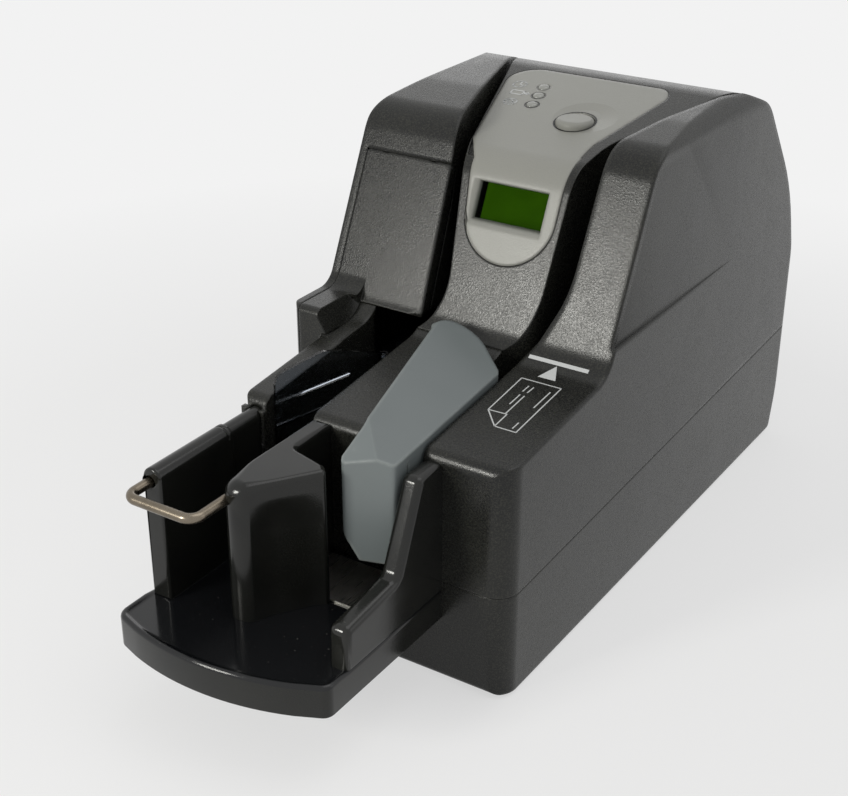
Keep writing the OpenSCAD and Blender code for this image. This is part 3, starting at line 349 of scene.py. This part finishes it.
# Materials of the nodes, by the name of their slot
MATS = {
    "shell_black": moulding("shell_black", 0.0012),
    "tray_black": plastic("tray_black", rgb(14, 15, 17), rgb(38, 39, 41), 0.13, specular=0.42, scratch=0.08,
                          dust=0.3, rounding=0.0022),
    "panel_grey": plastic("panel_grey", rgb(140, 140, 134), rgb(160, 160, 153), 0.34, grain=0.3,
                          specular=0.45, rounding=0.0026, relief=(button_dish, DISH_DEPTH)),
    "button_grey": plastic("button_grey", rgb(140, 140, 134), rgb(160, 160, 154), 0.42, grain=0.08,
                           specular=0.3, rounding=0.0015),
    # The flag's pale edge colour on a wide edge band is partly wear and partly a painted highlight along its
    # rounded edges.
    "flag_grey": plastic("flag_grey", rgb(110, 117, 118), rgb(186, 192, 188), 0.24, specular=0.45,
                         mottle=0.06, edge=0.0024, rounding=0.0022),
    "foot_rubber": plastic("foot_rubber", rgb(28, 28, 28), rgb(60, 60, 58), 0.75, grain=0.4, edge=0),
    "roller_rubber": plastic("roller_rubber", rgb(58, 56, 52), rgb(95, 92, 86), 0.7, grain=0.5, edge=0),
    "belt_rubber": plastic("belt_rubber", rgb(24, 24, 24), rgb(60, 60, 60), 0.7, grain=0.3, edge=0),
    "motor_case": metal("motor_case", rgb(150, 150, 150), rgb(110, 110, 108), 0.35),
    "lamp_lens": plastic("lamp_lens", rgb(142, 143, 138), rgb(182, 182, 176), 0.18, specular=0.6),
    "board_green": plastic("board_green", rgb(20, 82, 50), rgb(60, 130, 80), 0.35, edge=0),
    "sensor_black": plastic("sensor_black", rgb(16, 16, 18), rgb(46, 46, 50), 0.2, edge=0),
    "ink_case": plastic("ink_case", rgb(26, 26, 30), rgb(70, 70, 74), 0.35, grain=0.2),
    "socket_black": plastic("socket_black", rgb(14, 14, 15), rgb(45, 45, 46), 0.35, grain=0.2),
    "wire_chrome": metal("wire_chrome", rgb(128, 119, 106), rgb(92, 84, 72), 0.27, (1, 1, 1), 1500, 0.05),
    "plate_steel": metal("plate_steel", rgb(196, 194, 188), rgb(150, 148, 142), 0.30, (1, 0.04, 1), 1800,
                         0.05),
    "shaft_steel": metal("shaft_steel", rgb(190, 190, 188), rgb(150, 150, 148), 0.22),
    "bush_brass": metal("bush_brass", rgb(196, 160, 92), rgb(140, 108, 60), 0.32),
    "head_steel": metal("head_steel", rgb(190, 190, 192), rgb(140, 140, 142), 0.25),
    "socket_steel": metal("socket_steel", rgb(188, 188, 188), rgb(140, 140, 140), 0.3),
    "screw_steel": metal("screw_steel", rgb(120, 120, 120), rgb(70, 70, 70), 0.35),
    "smoke_clear": clear("smoke_clear", rgb(206, 214, 226), 0.04, 0.05),
    "window_clear": pane("window_clear"),
    "display_green": display("display_green"),
}
PRINT = plastic("print_white", rgb(206, 208, 208), rgb(170, 172, 172), 0.45, grain=0.1, edge=0)
BEZEL = plastic("display_bezel", rgb(10, 11, 12), rgb(30, 31, 32), 0.3, edge=0)


# Pieces
def place(name, bm, mat):
    """An object of a finished form, in the scene."""
    me = bpy.data.meshes.new(name)
    bm.normal_update()
    bm.to_mesh(me)
    bm.free()
    me.materials.append(mat)
    ob = bpy.data.objects.new(name, me)
    bpy.context.scene.collection.objects.link(ob)
    return ob


def add(name, bm, mat, body="housing", smooth=40, replaces=()):
    """A piece that rides on a body, sharp only at edges past the smooth angle."""
    ob = place(name, bm, mat)
    ob.data.shade_smooth()
    ob.data.set_sharp_from_angle(angle=math.radians(smooth))
    mod = ob.modifiers.new("normals", "WEIGHTED_NORMAL")
    mod.keep_sharp = True
    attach(ob, body)
    if replaces:
        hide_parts(*replaces)
    return ob


def body_of(node):
    """The name of the moving body that a node belongs to."""
    return next(b for b, ns in frame["record"]["behaviour"]["bodies"].items() if node in ns)


def slot_of(node):
    return NODES[node].material_slots[0].name.split(".")[0]


def shell(node, bm, mat=None, smooth=32):
    """A dressed form that takes the place of a node."""
    return add(node + "_shell", bm, mat or MATS[slot_of(node)], body_of(node), smooth, [node])


def form_of(node, flat=0.3):
    """A welded copy of the node's mesh, its coplanar triangles joined where flat is set."""
    bm = bmesh.new()
    bm.from_mesh(NODES[node].data)
    bmesh.ops.remove_doubles(bm, verts=bm.verts, dist=2e-6)
    if flat:
        bmesh.ops.dissolve_limit(bm, angle_limit=math.radians(flat), verts=bm.verts, edges=bm.edges,
                                 use_dissolve_boundaries=False)
    return bm


def soften(bm, width, segs=3, pick=None, angle=26):
    """Round the sharp edges that pick accepts; pick gets the middle and direction in millimetres."""
    edges = []
    for e in bm.edges:
        if len(e.link_faces) == 2 and e.calc_face_angle(0) > math.radians(angle):
            a, b = e.verts[0].co, e.verts[1].co
            if (b - a).length > 1e-6 and (pick is None or pick((a + b) / 2 / MM, (b - a).normalized())):
                edges.append(e)
    bmesh.ops.bevel(bm, geom=edges, offset=width * MM, segments=segs, profile=0.5, affect="EDGES",
                    clamp_overlap=True, loop_slide=True)
    return bm


def skin(rings, capped=True):
    """Faces between rings of points in millimetres: capped, or with the last ring joined to the first."""
    bm = bmesh.new()
    rings = [[bm.verts.new(Vector(q) * MM) for q in ring] for ring in rings]
    following = rings[1:] if capped else rings[1:] + rings[:1]
    for one, two in zip(rings, following):
        for k in range(len(one)):
            m = (k + 1) % len(one)
            bm.faces.new((one[k], one[m], two[m], two[k]))
    if capped:
        bm.faces.new(list(reversed(rings[0])))
        bm.faces.new(rings[-1])
    bmesh.ops.recalc_face_normals(bm, faces=bm.faces)
    return bm


for node, ob in NODES.items():
    ob.material_slots[0].material = MATS[slot_of(node)]


# Covers; their rounding grows above the side seam, and on the door towards the console
SEAM = 0.062
DOOR_EDGE = -0.0305
COVER_BEVEL = 0.35
COVERS = {
    "right_cover": moulding("shell_right", along(2, SEAM, 0.0006, 0.0034)),
    "left_cover": moulding("shell_left", along(2, SEAM, 0.0006, 0.0024)),
    "access_door": moulding("shell_door", along(0, DOOR_EDGE, 0.0010, 0.0040)),
    "base_housing": moulding("shell_base", 0.0016),
    "centre_console": moulding("shell_console", 0.0012),
    "centre_deck": moulding("shell_deck", 0.0020),
}
BLOCK_SIDE = (-64.0, -59.0)
BLOCK_ABOVE = 133.0
BLOCK_BEFORE = -27.5
BLOCK_LEAN = 5.0


def lean_block(bm):
    """The inner side of the door's block leans back into the shoulder."""
    for v in bm.verts:
        at = v.co / MM
        if BLOCK_SIDE[0] < at.x < BLOCK_SIDE[1] and at.z > BLOCK_ABOVE and at.y < BLOCK_BEFORE:
            v.co.x -= BLOCK_LEAN * MM


for node, mat in COVERS.items():
    bm = form_of(node, 0)
    if node == "access_door":
        lean_block(bm)
    shell(node, soften(bm, COVER_BEVEL, 2), mat)


# Places that the stacker, tray and hopper share, in millimetres
FLOOR = 50.0
FRONT = -115.55
FENCE_Y = -188.35
WALL_X = 37.4
FENCE_X = 47.6
STRIP_L = -62.0


def arc_outline(corners, step=8):
    """A closed outline of corners (x, y, radius), anticlockwise: a list of (point, outward normal)."""
    points = [Vector((x, y)) for x, y, _ in corners]
    out = []
    for i, (p, (_, _, r)) in enumerate(zip(points, corners)):
        a = points[i - 1]
        b = points[(i + 1) % len(points)]
        u, v = (a - p).normalized(), (b - p).normalized()
        n0, n1 = Vector((-u.y, u.x)), Vector((v.y, -v.x))
        if r <= 0:
            out.append((p, (n0 + n1).normalized()))
            continue
        turn = math.atan2(n0.cross(n1), n0.dot(n1))
        bulge = 1 if turn > 0 else -1
        centre = p + u * r / math.tan(u.angle(v) / 2) - n0 * r * bulge
        steps = max(2, int(abs(math.degrees(turn)) / step))
        for k in range(steps + 1):
            t = turn * k / steps
            d = Matrix.Rotation(t, 2) @ n0
            out.append((centre + d * r * bulge, d))
    return out


def subdivide(outline, most=4.0):
    """Points added along the long straights of an outline."""
    out = []
    for (p, n), (q, m) in zip(outline, outline[1:] + outline[:1]):
        parts = max(1, int((q - p).length / most))
        for k in range(parts):
            t = k / parts
            out.append((p.lerp(q, t), n.lerp(m, t).normalized()))
    return out


def smooth_step(x, lo, hi):
    """0 up to lo, 1 from hi on, with a soft rise between."""
    t = min(1.0, max(0.0, (x - lo) / (hi - lo)))
    return t * t * (3 - 2 * t)


def quarter(steps):
    """Angles over a quarter turn."""
    return [k / steps * math.pi / 2 for k in range(steps + 1)]


# The wedge: corners as (x, y, radius), and the fading hollow as (depth below the top, hollow)
WEDGE_CORNERS = [(-22.2, -115.6, 0), (-22.2, -185.8, 7.5), (-9.3, -182.6, 7.0), (11.6, -151.6, 2.6),
                 (7.6, -147.2, 3.0), (-12.3, -142.0, 4.0), (-12.3, -115.6, 0)]
WEDGE_RIM = 2.6
COLUMN_RIM = 4.2
COLUMN_REACH = (6, 26)
HOLLOW = 2.0
HOLLOW_NEAR = 0.6
HOLLOW_STARTS = (3.0, 10.0)
HOLLOW_ENDS = (29.0, 37.5)
HOLLOW_FADE = [(26, 1.9), (20, 1.5), (15, 0.9), (11, 0.35), (9, 0.1), (7.4, 0)]


def wedge_form():
    """The post between the pockets: a fat front column, a domed top edge and a hollowed front face."""
    top = max(v.co.z for v in NODES["pocket_wedge"].data.vertices) / MM
    outline = subdivide(arc_outline(WEDGE_CORNERS))
    column, a, b = (Vector(corner[:2]) for corner in WEDGE_CORNERS[1:4])
    face = (b - a).normalized()

    def sink(q, hollow):
        t = (q - a).dot(face)
        if abs((q - a).cross(face)) >= HOLLOW_NEAR or not 0 < t < (b - a).length:
            return 0
        return hollow * smooth_step(t, *HOLLOW_STARTS) * (1 - smooth_step(t, *HOLLOW_ENDS))

    def ring(inset, drop, hollow):
        out = []
        for q, n in outline:
            r = WEDGE_RIM + COLUMN_RIM * (1 - smooth_step((q - column).length, *COLUMN_REACH))
            p = q - n * (inset * r + sink(q, hollow))
            out.append((p.x, p.y, top - drop * r))
        return out

    def level(z, hollow):
        return [(x, y, z) for x, y, _ in ring(0, 0, hollow)]

    rings = [level(FLOOR, HOLLOW), level(FLOOR + 10, HOLLOW)]
    rings += [level(top - depth, hollow) for depth, hollow in HOLLOW_FADE]
    rings += [ring(1 - math.cos(t), 1 - math.sin(t), 0) for t in quarter(8)]
    return skin(rings)


# The tray: its front arc with the radii of its ends, and its lip as (inset, height, rise at the front)
TRAY_LEFT = STRIP_L - 1.2
TRAY_R = 130.0
TRAY_REACH = 102.9
TRAY_SHIFT = 7
TRAY_ENDS = (7, 5.5)
ARC_PARTS = 24
ARC_ENDS = 3
LIP_RISES = (-192, -186)
LIP = [(3, 34.9, 0), (0.6, 34.9, 0), (0, 35.5, 0), (0, 48.6, 0.6), (0.25, 49.3, 0.8), (0.8, 49.9, 0.9),
       (1.5, FLOOR, 1.05), (2.2, FLOOR, 0.95), (2.9, FLOOR, 0.5), (3.3, FLOOR, 0.1), (3.9, FLOOR, 0)]


def tray_form():
    """The tray plate with rounded front corners and a raised rounded lip."""
    cx = (TRAY_LEFT + FENCE_X) / 2 - TRAY_SHIFT
    cy = FRONT - TRAY_REACH + TRAY_R

    def arc(x):
        return cy - math.sqrt(TRAY_R * TRAY_R - (x - cx) ** 2)

    parts = range(ARC_ENDS, ARC_PARTS - ARC_ENDS + 1)
    between = [TRAY_LEFT + (FENCE_X - TRAY_LEFT) * k / ARC_PARTS for k in parts]
    corners = [(TRAY_LEFT, FRONT, 0), (TRAY_LEFT, arc(TRAY_LEFT), TRAY_ENDS[0])]
    corners += [(x, arc(x), 0) for x in between]
    corners += [(FENCE_X, arc(FENCE_X), TRAY_ENDS[1]), (FENCE_X, FRONT, 0)]
    outline = subdivide(arc_outline(corners), 6)
    return skin([[(q.x - n.x * inset, q.y - n.y * inset, z + rise * (1 - smooth_step(q.y, *LIP_RISES)))
                  for q, n in outline] for inset, z, rise in LIP])


# The hopper fence: corners of its side view as (y, z, radius)
FENCE_RIM = 3.4
FENCE_CORNERS = [(FRONT + 2, 49, 0), (FRONT + 2, 115.5, 0), (FRONT - 17, 115.5, 4), (FRONT - 35, 74.5, 6),
                 (FENCE_Y, 70.5, 4), (FENCE_Y, 49, 0)]


def fence_form():
    """The stepped hopper fence, its long edges well rounded."""
    outline = arc_outline(FENCE_CORNERS, 10)

    def slice_at(x, side, t):
        inset = FENCE_RIM * (1 - math.sin(t))
        return [(x + side * FENCE_RIM * (1 - math.cos(t)), q.x - n.x * inset, q.y - n.y * inset)
                for q, n in outline]

    turns = quarter(6)
    return skin([slice_at(WALL_X, 1, t) for t in turns] + [slice_at(FENCE_X, -1, t) for t in reversed(turns)])


def wall_form():
    """The pocket wall, well rounded at its free front end."""
    bm = form_of("pocket_wall")
    soften(bm, 1.4, 4, lambda middle, way: middle.y < FENCE_Y + 0.6)
    return soften(bm, 0.4, 2, lambda middle, way: middle.y > FENCE_Y + 3)


# The tray's faces below this height, in metres, are satin; its top is glossier
GLOSSY_ABOVE = 0.0492
satin = moulding("shell_fence", 0.0006, SATIN)

shell("pocket_wedge", wedge_form(), moulding("shell_wedge", 0.0006, SATIN), smooth=50)
shell("pocket_wall", wall_form(), moulding("shell_wall", 0.0010, SATIN))
tray = shell("front_tray", tray_form(), smooth=50)
tray.data.materials.append(satin)
for face in tray.data.polygons:
    if face.center.z < GLOSSY_ABOVE:
        face.material_index = 1
add("hopper_fence", fence_form(), satin, smooth=50)
shell("feeder_flag", soften(form_of("feeder_flag"), 1.1, 3))
shell("wire_stop", form_of("wire_stop", 0))
shell("pocket_divider", form_of("pocket_divider"))


# Panel and display, placed on the console's slope: x, depth below the surface, distance up the slope
TILT = math.radians(-25.2)
SLOPE = Matrix.Translation((0, 1.06, 186.5)) @ Matrix.Rotation(TILT, 4, "X")
LCD_X = 10.0
LCD_S = 4.6
LCD_W = 36.5
LCD_H = 17.9

# The opening's bevel: how far its outer corners move, and how near and deep a corner lies to count
BEVEL_LEFT = 4.2
BEVEL_LOW = 3.8
BEVEL_OTHER = 1.0
CORNER_NEAR = 0.2
CORNER_DEEP = 0.9

# The panel's left edge over the bend: between two places in y it runs outwards from an x
LEFT_OF = -19
EDGE_FROM = 13.3
EDGE_TO = 26.0
EDGE_X = -16.6
EDGE_OUT = 8.4

# The well behind the opening as (depth, widening), and the glass in it
WELL_GAP = 0.4
WELL_PROFILE = [(1.9, 0), (1.9, 0.8), (5.8, 0.8), (5.8, 0.0), (5.2, 0.0)]
GLASS_SET_BACK = 1.6
GLASS_OVER = 0.2
GLASS_DEPTHS = (4.6, 5.3)

# The feed button's top edge lies above this height
BUTTON_EDGE = 219.5


def on_slope(x, depth, s):
    """The place in the frame, in millimetres."""
    return SLOPE @ Vector((x, depth, s))


def widen_opening(bm):
    """A wide bevel round the display opening."""
    back = SLOPE.inverted()
    for v in bm.verts:
        q = back @ (v.co / MM)
        dx = abs(abs(q.x - LCD_X) - LCD_W / 2)
        ds = abs(abs(q.z - LCD_S) - LCD_H / 2)
        if dx < CORNER_NEAR and ds < CORNER_NEAR and q.y < CORNER_DEEP:
            q.x += -BEVEL_LEFT if q.x < LCD_X else BEVEL_OTHER
            q.z += -BEVEL_LOW if q.z < LCD_S else BEVEL_OTHER
            v.co = (SLOPE @ q) * MM


def even_edge(bm):
    """The panel's left edge is moved to run on over the bend."""
    for v in bm.verts:
        at = v.co / MM
        if at.x < LEFT_OF and EDGE_FROM < at.y < EDGE_TO:
            v.co.x = (EDGE_X - (at.y - EDGE_FROM) * EDGE_OUT / (EDGE_TO - EDGE_FROM)) * MM
    bmesh.ops.remove_doubles(bm, verts=bm.verts, dist=4e-5)


def panel_form():
    """The grey panel, dressed."""
    bm = form_of("control_panel")
    widen_opening(bm)
    even_edge(bm)
    return bm


def button_form():
    """The feed button with a well rounded top edge."""
    def top_edge(middle, way):
        return middle.z > BUTTON_EDGE and abs(way.z) < 0.3
    return soften(form_of("feed_button"), 2.4, 6, top_edge, 40)


def frame_ring(x0, x1, s0, s1, depth):
    """The four corners of a rectangle parallel to the slope."""
    return [on_slope(x, depth, s) for x, s in ((x0, s0), (x1, s0), (x1, s1), (x0, s1))]


def display_box():
    """A dark well behind the opening."""
    half_w = LCD_W / 2 + WELL_GAP
    half_h = LCD_H / 2 + WELL_GAP
    return skin([frame_ring(LCD_X - half_w - grow, LCD_X + half_w + grow,
                            LCD_S - half_h - grow, LCD_S + half_h + grow, depth)
                 for depth, grow in WELL_PROFILE], capped=False)


def display_screen():
    """The green glass, set back from the opening's left side."""
    left = LCD_X - LCD_W / 2 + GLASS_SET_BACK
    right = LCD_X + LCD_W / 2 + GLASS_OVER
    half_h = LCD_H / 2 + GLASS_OVER
    return skin([frame_ring(left, right, LCD_S - half_h, LCD_S + half_h, depth) for depth in GLASS_DEPTHS])


shell("control_panel", panel_form())
shell("feed_button", button_form(), smooth=50)
add("display_well", display_box(), BEZEL)
add("display_glass", display_screen(), MATS["display_green"],
    replaces=["display_module"])


# Printed marks, and a ring of painted shade round the feed button: lines of (points, width) and filled areas,
# seen from above, in millimetres
# Rays start overhead to find the surface, and a mark reaches a little below it
OVERHEAD = 400
SUNK = 0.05


def drop(bm):
    """A function that gives the height and normal of a form's top at x, y in millimetres."""
    tree = BVHTree.FromBMesh(bm)
    bm.free()

    def at(x, y):
        hit, normal, _, _ = tree.ray_cast(Vector((x, y, OVERHEAD)) * MM, Vector((0, 0, -1)))
        return hit / MM, normal
    return at


def slab(bm, at, corners, lift):
    """A thin plate with its corners laid on a surface."""
    top, low = [], []
    for x, y in corners:
        p, n = at(x, y)
        top.append(bm.verts.new((p + n * lift) * MM))
        low.append(bm.verts.new((p - n * SUNK) * MM))
    bm.faces.new(top)
    bm.faces.new(list(reversed(low)))
    for k in range(len(top)):
        m = (k + 1) % len(top)
        bm.faces.new((top[k], low[k], low[m], top[m]))


def print_and_shade_marks(name, node, lines, areas=(), lift=0.05, mat=PRINT, form=None):
    """Thin lines and areas laid on the top of a node, or of the form that replaces it: print, and on the
    panel also a ring of painted shade.
    """
    at = drop(form or form_of(node, 0))
    bm = bmesh.new()
    for line, width in lines:
        for a, b in zip(line, line[1:]):
            a, b = Vector(a), Vector(b)
            way = (b - a).normalized()
            side = Vector((-way.y, way.x)) * width / 2
            way = way * width / 2
            slab(bm, at, [a - way - side, b + way - side, b + way + side, a - way + side], lift)
    for area in areas:
        slab(bm, at, [Vector(q) for q in area], lift)
    bmesh.ops.recalc_face_normals(bm, faces=bm.faces)
    add(name, bm, mat, body_of(node))


def circle(cx, cy, r, n=28):
    """A closed ring of points."""
    turns = [2 * math.pi * k / n for k in range(n + 1)]
    return [(cx + r * math.cos(t), cy + r * math.sin(t)) for t in turns]


THIN = 0.62
DECK_LINES = [
    ([(41.2, -28.0), (71.1, -28.0)], 1.7),
    ([(45.4, -43.6), (66.2, -43.6), (66.2, -85.0), (55.2, -84.9), (45.6, -74.3), (45.4, -43.6)], THIN),
    ([(45.6, -74.3), (55.2, -73.9), (55.2, -84.9)], THIN),
    ([(54.3, -73.4), (54.4, -57.1)], THIN),
    ([(51.9, -65.7), (52.0, -57.0)], THIN),
    ([(51.7, -53.5), (51.9, -48.6)], THIN),
    ([(54.2, -53.6), (54.5, -48.8)], THIN),
    ([(63.1, -63.5), (63.3, -48.9)], THIN),
    ([(63.2, -82.6), (63.3, -77.8)], THIN),
]
DECK_ARROW = [(51.3, -39.1), (60.6, -39.0), (56.1, -29.3)]
PANEL_LINES = [
    (circle(-33.5, 87.0, 3.5), 0.8),
    ([(-33.5, 89.3), (-33.5, 87.0), (-31.6, 86.2)], 0.7),
    ([(-33.4, 80.2), (-26.6, 80.2), (-26.6, 76.2), (-33.4, 76.2), (-33.4, 80.2)], 0.7),
    ([(-26.4, 78.4), (-23.6, 78.4)], 1.1),
    (circle(-28.0, 67.5, 3.3), 0.9),
    (circle(-28.0, 67.5, 1.5, 16), 0.9),
]
PANEL_ARROW = [(-24.6, 80.0), (-24.6, 76.8), (-22.6, 78.4)]
# A near-black ring in the gap round the feed button: painted shade of the gap.
BUTTON_GAP_SHADE = [(circle(*BUTTON_AT, 10.6, 40), 0.8)]

print_and_shade_marks("deck_pictogram", "right_cover", DECK_LINES, [DECK_ARROW])
print_and_shade_marks("panel_pictograms", "control_panel", PANEL_LINES, [PANEL_ARROW], lift=0.12, form=panel_form())
# The bezel-black ring laid round the feed button is painted shade in its gap.
print_and_shade_marks("button_gap_shade", "control_panel", BUTTON_GAP_SHADE, mat=BEZEL, form=panel_form())


# Status lamps: profiles as (radius, height over the lamp's top face)
RING_PROFILE = [(4.1, -1.5), (4.1, 0.12), (3.9, 0.22), (3.5, 0.12), (3.2, -0.5), (3.2, -1.5)]
DOME_PROFILE = [(3.1, -1.5), (3.1, -0.2), (2.8, 0.4), (2.1, 0.85), (1.0, 1.08), (0, 1.14)]
LATHE_SIDES = 32


def lathe(bm, centre, normal, profile):
    """A profile of (radius, height) turned about the normal; a radius of 0 closes it in a point."""
    turn = normal.to_track_quat("Z", "Y").to_matrix()
    rings = []
    for r, h in profile:
        spokes = LATHE_SIDES if r > 0 else 1
        angles = [2 * math.pi * k / LATHE_SIDES for k in range(spokes)]
        rings.append([bm.verts.new((centre + turn @ Vector((r * math.cos(t), r * math.sin(t), h))) * MM)
                      for t in angles])
    for one, two in zip(rings, rings[1:]):
        for k in range(LATHE_SIDES):
            m = (k + 1) % LATHE_SIDES
            if len(two) == 1:
                bm.faces.new((one[k], one[m], two[0]))
            else:
                bm.faces.new((one[k], one[m], two[m], two[k]))
    bmesh.ops.recalc_face_normals(bm, faces=bm.faces)


def lamp_tops():
    """The middle and normal of the top face of each lamp."""
    bm = form_of("status_lamps", 1.0)
    found = []
    for f in sorted(bm.faces, key=lambda f: -f.calc_area()):
        middle = f.calc_center_median() / MM
        if f.normal.z > 0.6 and all((middle - c).length > 4 for c, _ in found):
            found.append((middle, f.normal.copy()))
    bm.free()
    return found[:3]


rings_bm, domes_bm = bmesh.new(), bmesh.new()
for centre, normal in lamp_tops():
    lathe(rings_bm, centre, normal, RING_PROFILE)
    lathe(domes_bm, centre, normal, DOME_PROFILE)
add("lamp_rings", rings_bm, BEZEL)
add("lamp_domes", domes_bm, MATS["lamp_lens"], replaces=["status_lamps"], smooth=60)


# Floor, backdrop and lamps
WHITE = (1, 1, 1, 1)
PALE = (0.888, 0.888, 0.888, 1)
STAGE_LIGHT = (0.90, 0.90, 0.90, 1)
STAGE_R = 9.0
STAGE_HUB = 0.05
STAGE_RINGS = 24
STAGE_SIDES = 64
GLOW_FROM = 0.30
GLOW_FULL = 0.62
GLOW_LEAST = 0.66
FILL = 0.44


def floor_form():
    """A disc whose rings widen outwards."""
    bm = bmesh.new()
    last = None
    for i in range(STAGE_RINGS + 1):
        r = STAGE_HUB + STAGE_R * (i / STAGE_RINGS) ** 2
        turns = [2 * math.pi * k / STAGE_SIDES for k in range(STAGE_SIDES)]
        ring = [bm.verts.new((r * math.cos(t), r * math.sin(t), 0)) for t in turns]
        if last is None:
            bm.faces.new(ring)
        else:
            for k in range(STAGE_SIDES):
                m = (k + 1) % STAGE_SIDES
                bm.faces.new((last[k], last[m], ring[m], ring[k]))
        last = ring
    return bm


def make_floor():
    """A pale floor that keeps the object's shadow and fades into the backdrop."""
    s = material("studio_floor")
    soft = s.node("ShaderNodeBsdfDiffuse", {"Color": s.mix(s.noise(30, 3, 0.5), PALE, STAGE_LIGHT)})
    glow = s.node("ShaderNodeEmission", {"Color": PALE, "Strength": 1.0})
    away = s.node("ShaderNodeVectorMath", {0: s.coord}, operation="LENGTH").outputs["Value"]
    fade = s.ramp(away, GLOW_FROM, GLOW_FULL, GLOW_LEAST, 1.0)
    place("studio_floor", floor_form(), s.blend(s.times(fade, s.seen()), soft, glow))


def make_world():
    """The same pale backdrop wherever it is seen, and an even dim fill for the rest."""
    world = bpy.data.worlds.new("studio")
    bpy.context.scene.world = world
    s = Shader(world, "ShaderNodeOutputWorld")
    fill = s.node("ShaderNodeBackground", {"Color": WHITE, "Strength": FILL})
    shown = s.node("ShaderNodeBackground", {"Color": PALE, "Strength": 1.0})
    s.blend(s.seen(), fill, shown)


# Lamps by name: direction from the target, distance, size and power
TARGET = Vector((0.0, 0.02, 0.11))
LAMPS = {
    "key": ((-0.35, -0.865, 0.355), 1.5, (0.32, 0.32), 9.6),
    "back": ((-0.44, 0.85, 0.28), 1.9, (1.0, 0.5), 1.2),
    "top": ((0.25, 0.2, 1.0), 1.6, (1.2, 1.2), 5.5),
    "side": ((0.9, 0.35, 0.35), 1.8, (0.9, 0.9), 1.2),
}
LAMP_COLOURS = {"key": (1.0, 0.99, 0.93)}


def make_lamp(name, direction, distance, size, power):
    data = bpy.data.lights.new(name, "AREA")
    data.shape = "RECTANGLE"
    data.size, data.size_y = size
    data.energy = power
    data.color = LAMP_COLOURS.get(name, (1, 1, 1))
    ob = bpy.data.objects.new(name, data)
    bpy.context.scene.collection.objects.link(ob)
    way = Vector(direction).normalized()
    ob.location = TARGET + way * distance
    ob.rotation_mode = "QUATERNION"
    ob.rotation_quaternion = (-way).to_track_quat("-Z", "Y")


make_floor()
make_world()
for name, settings in LAMPS.items():
    make_lamp(name, *settings)

bpy.context.scene.view_settings.view_transform = "Standard"
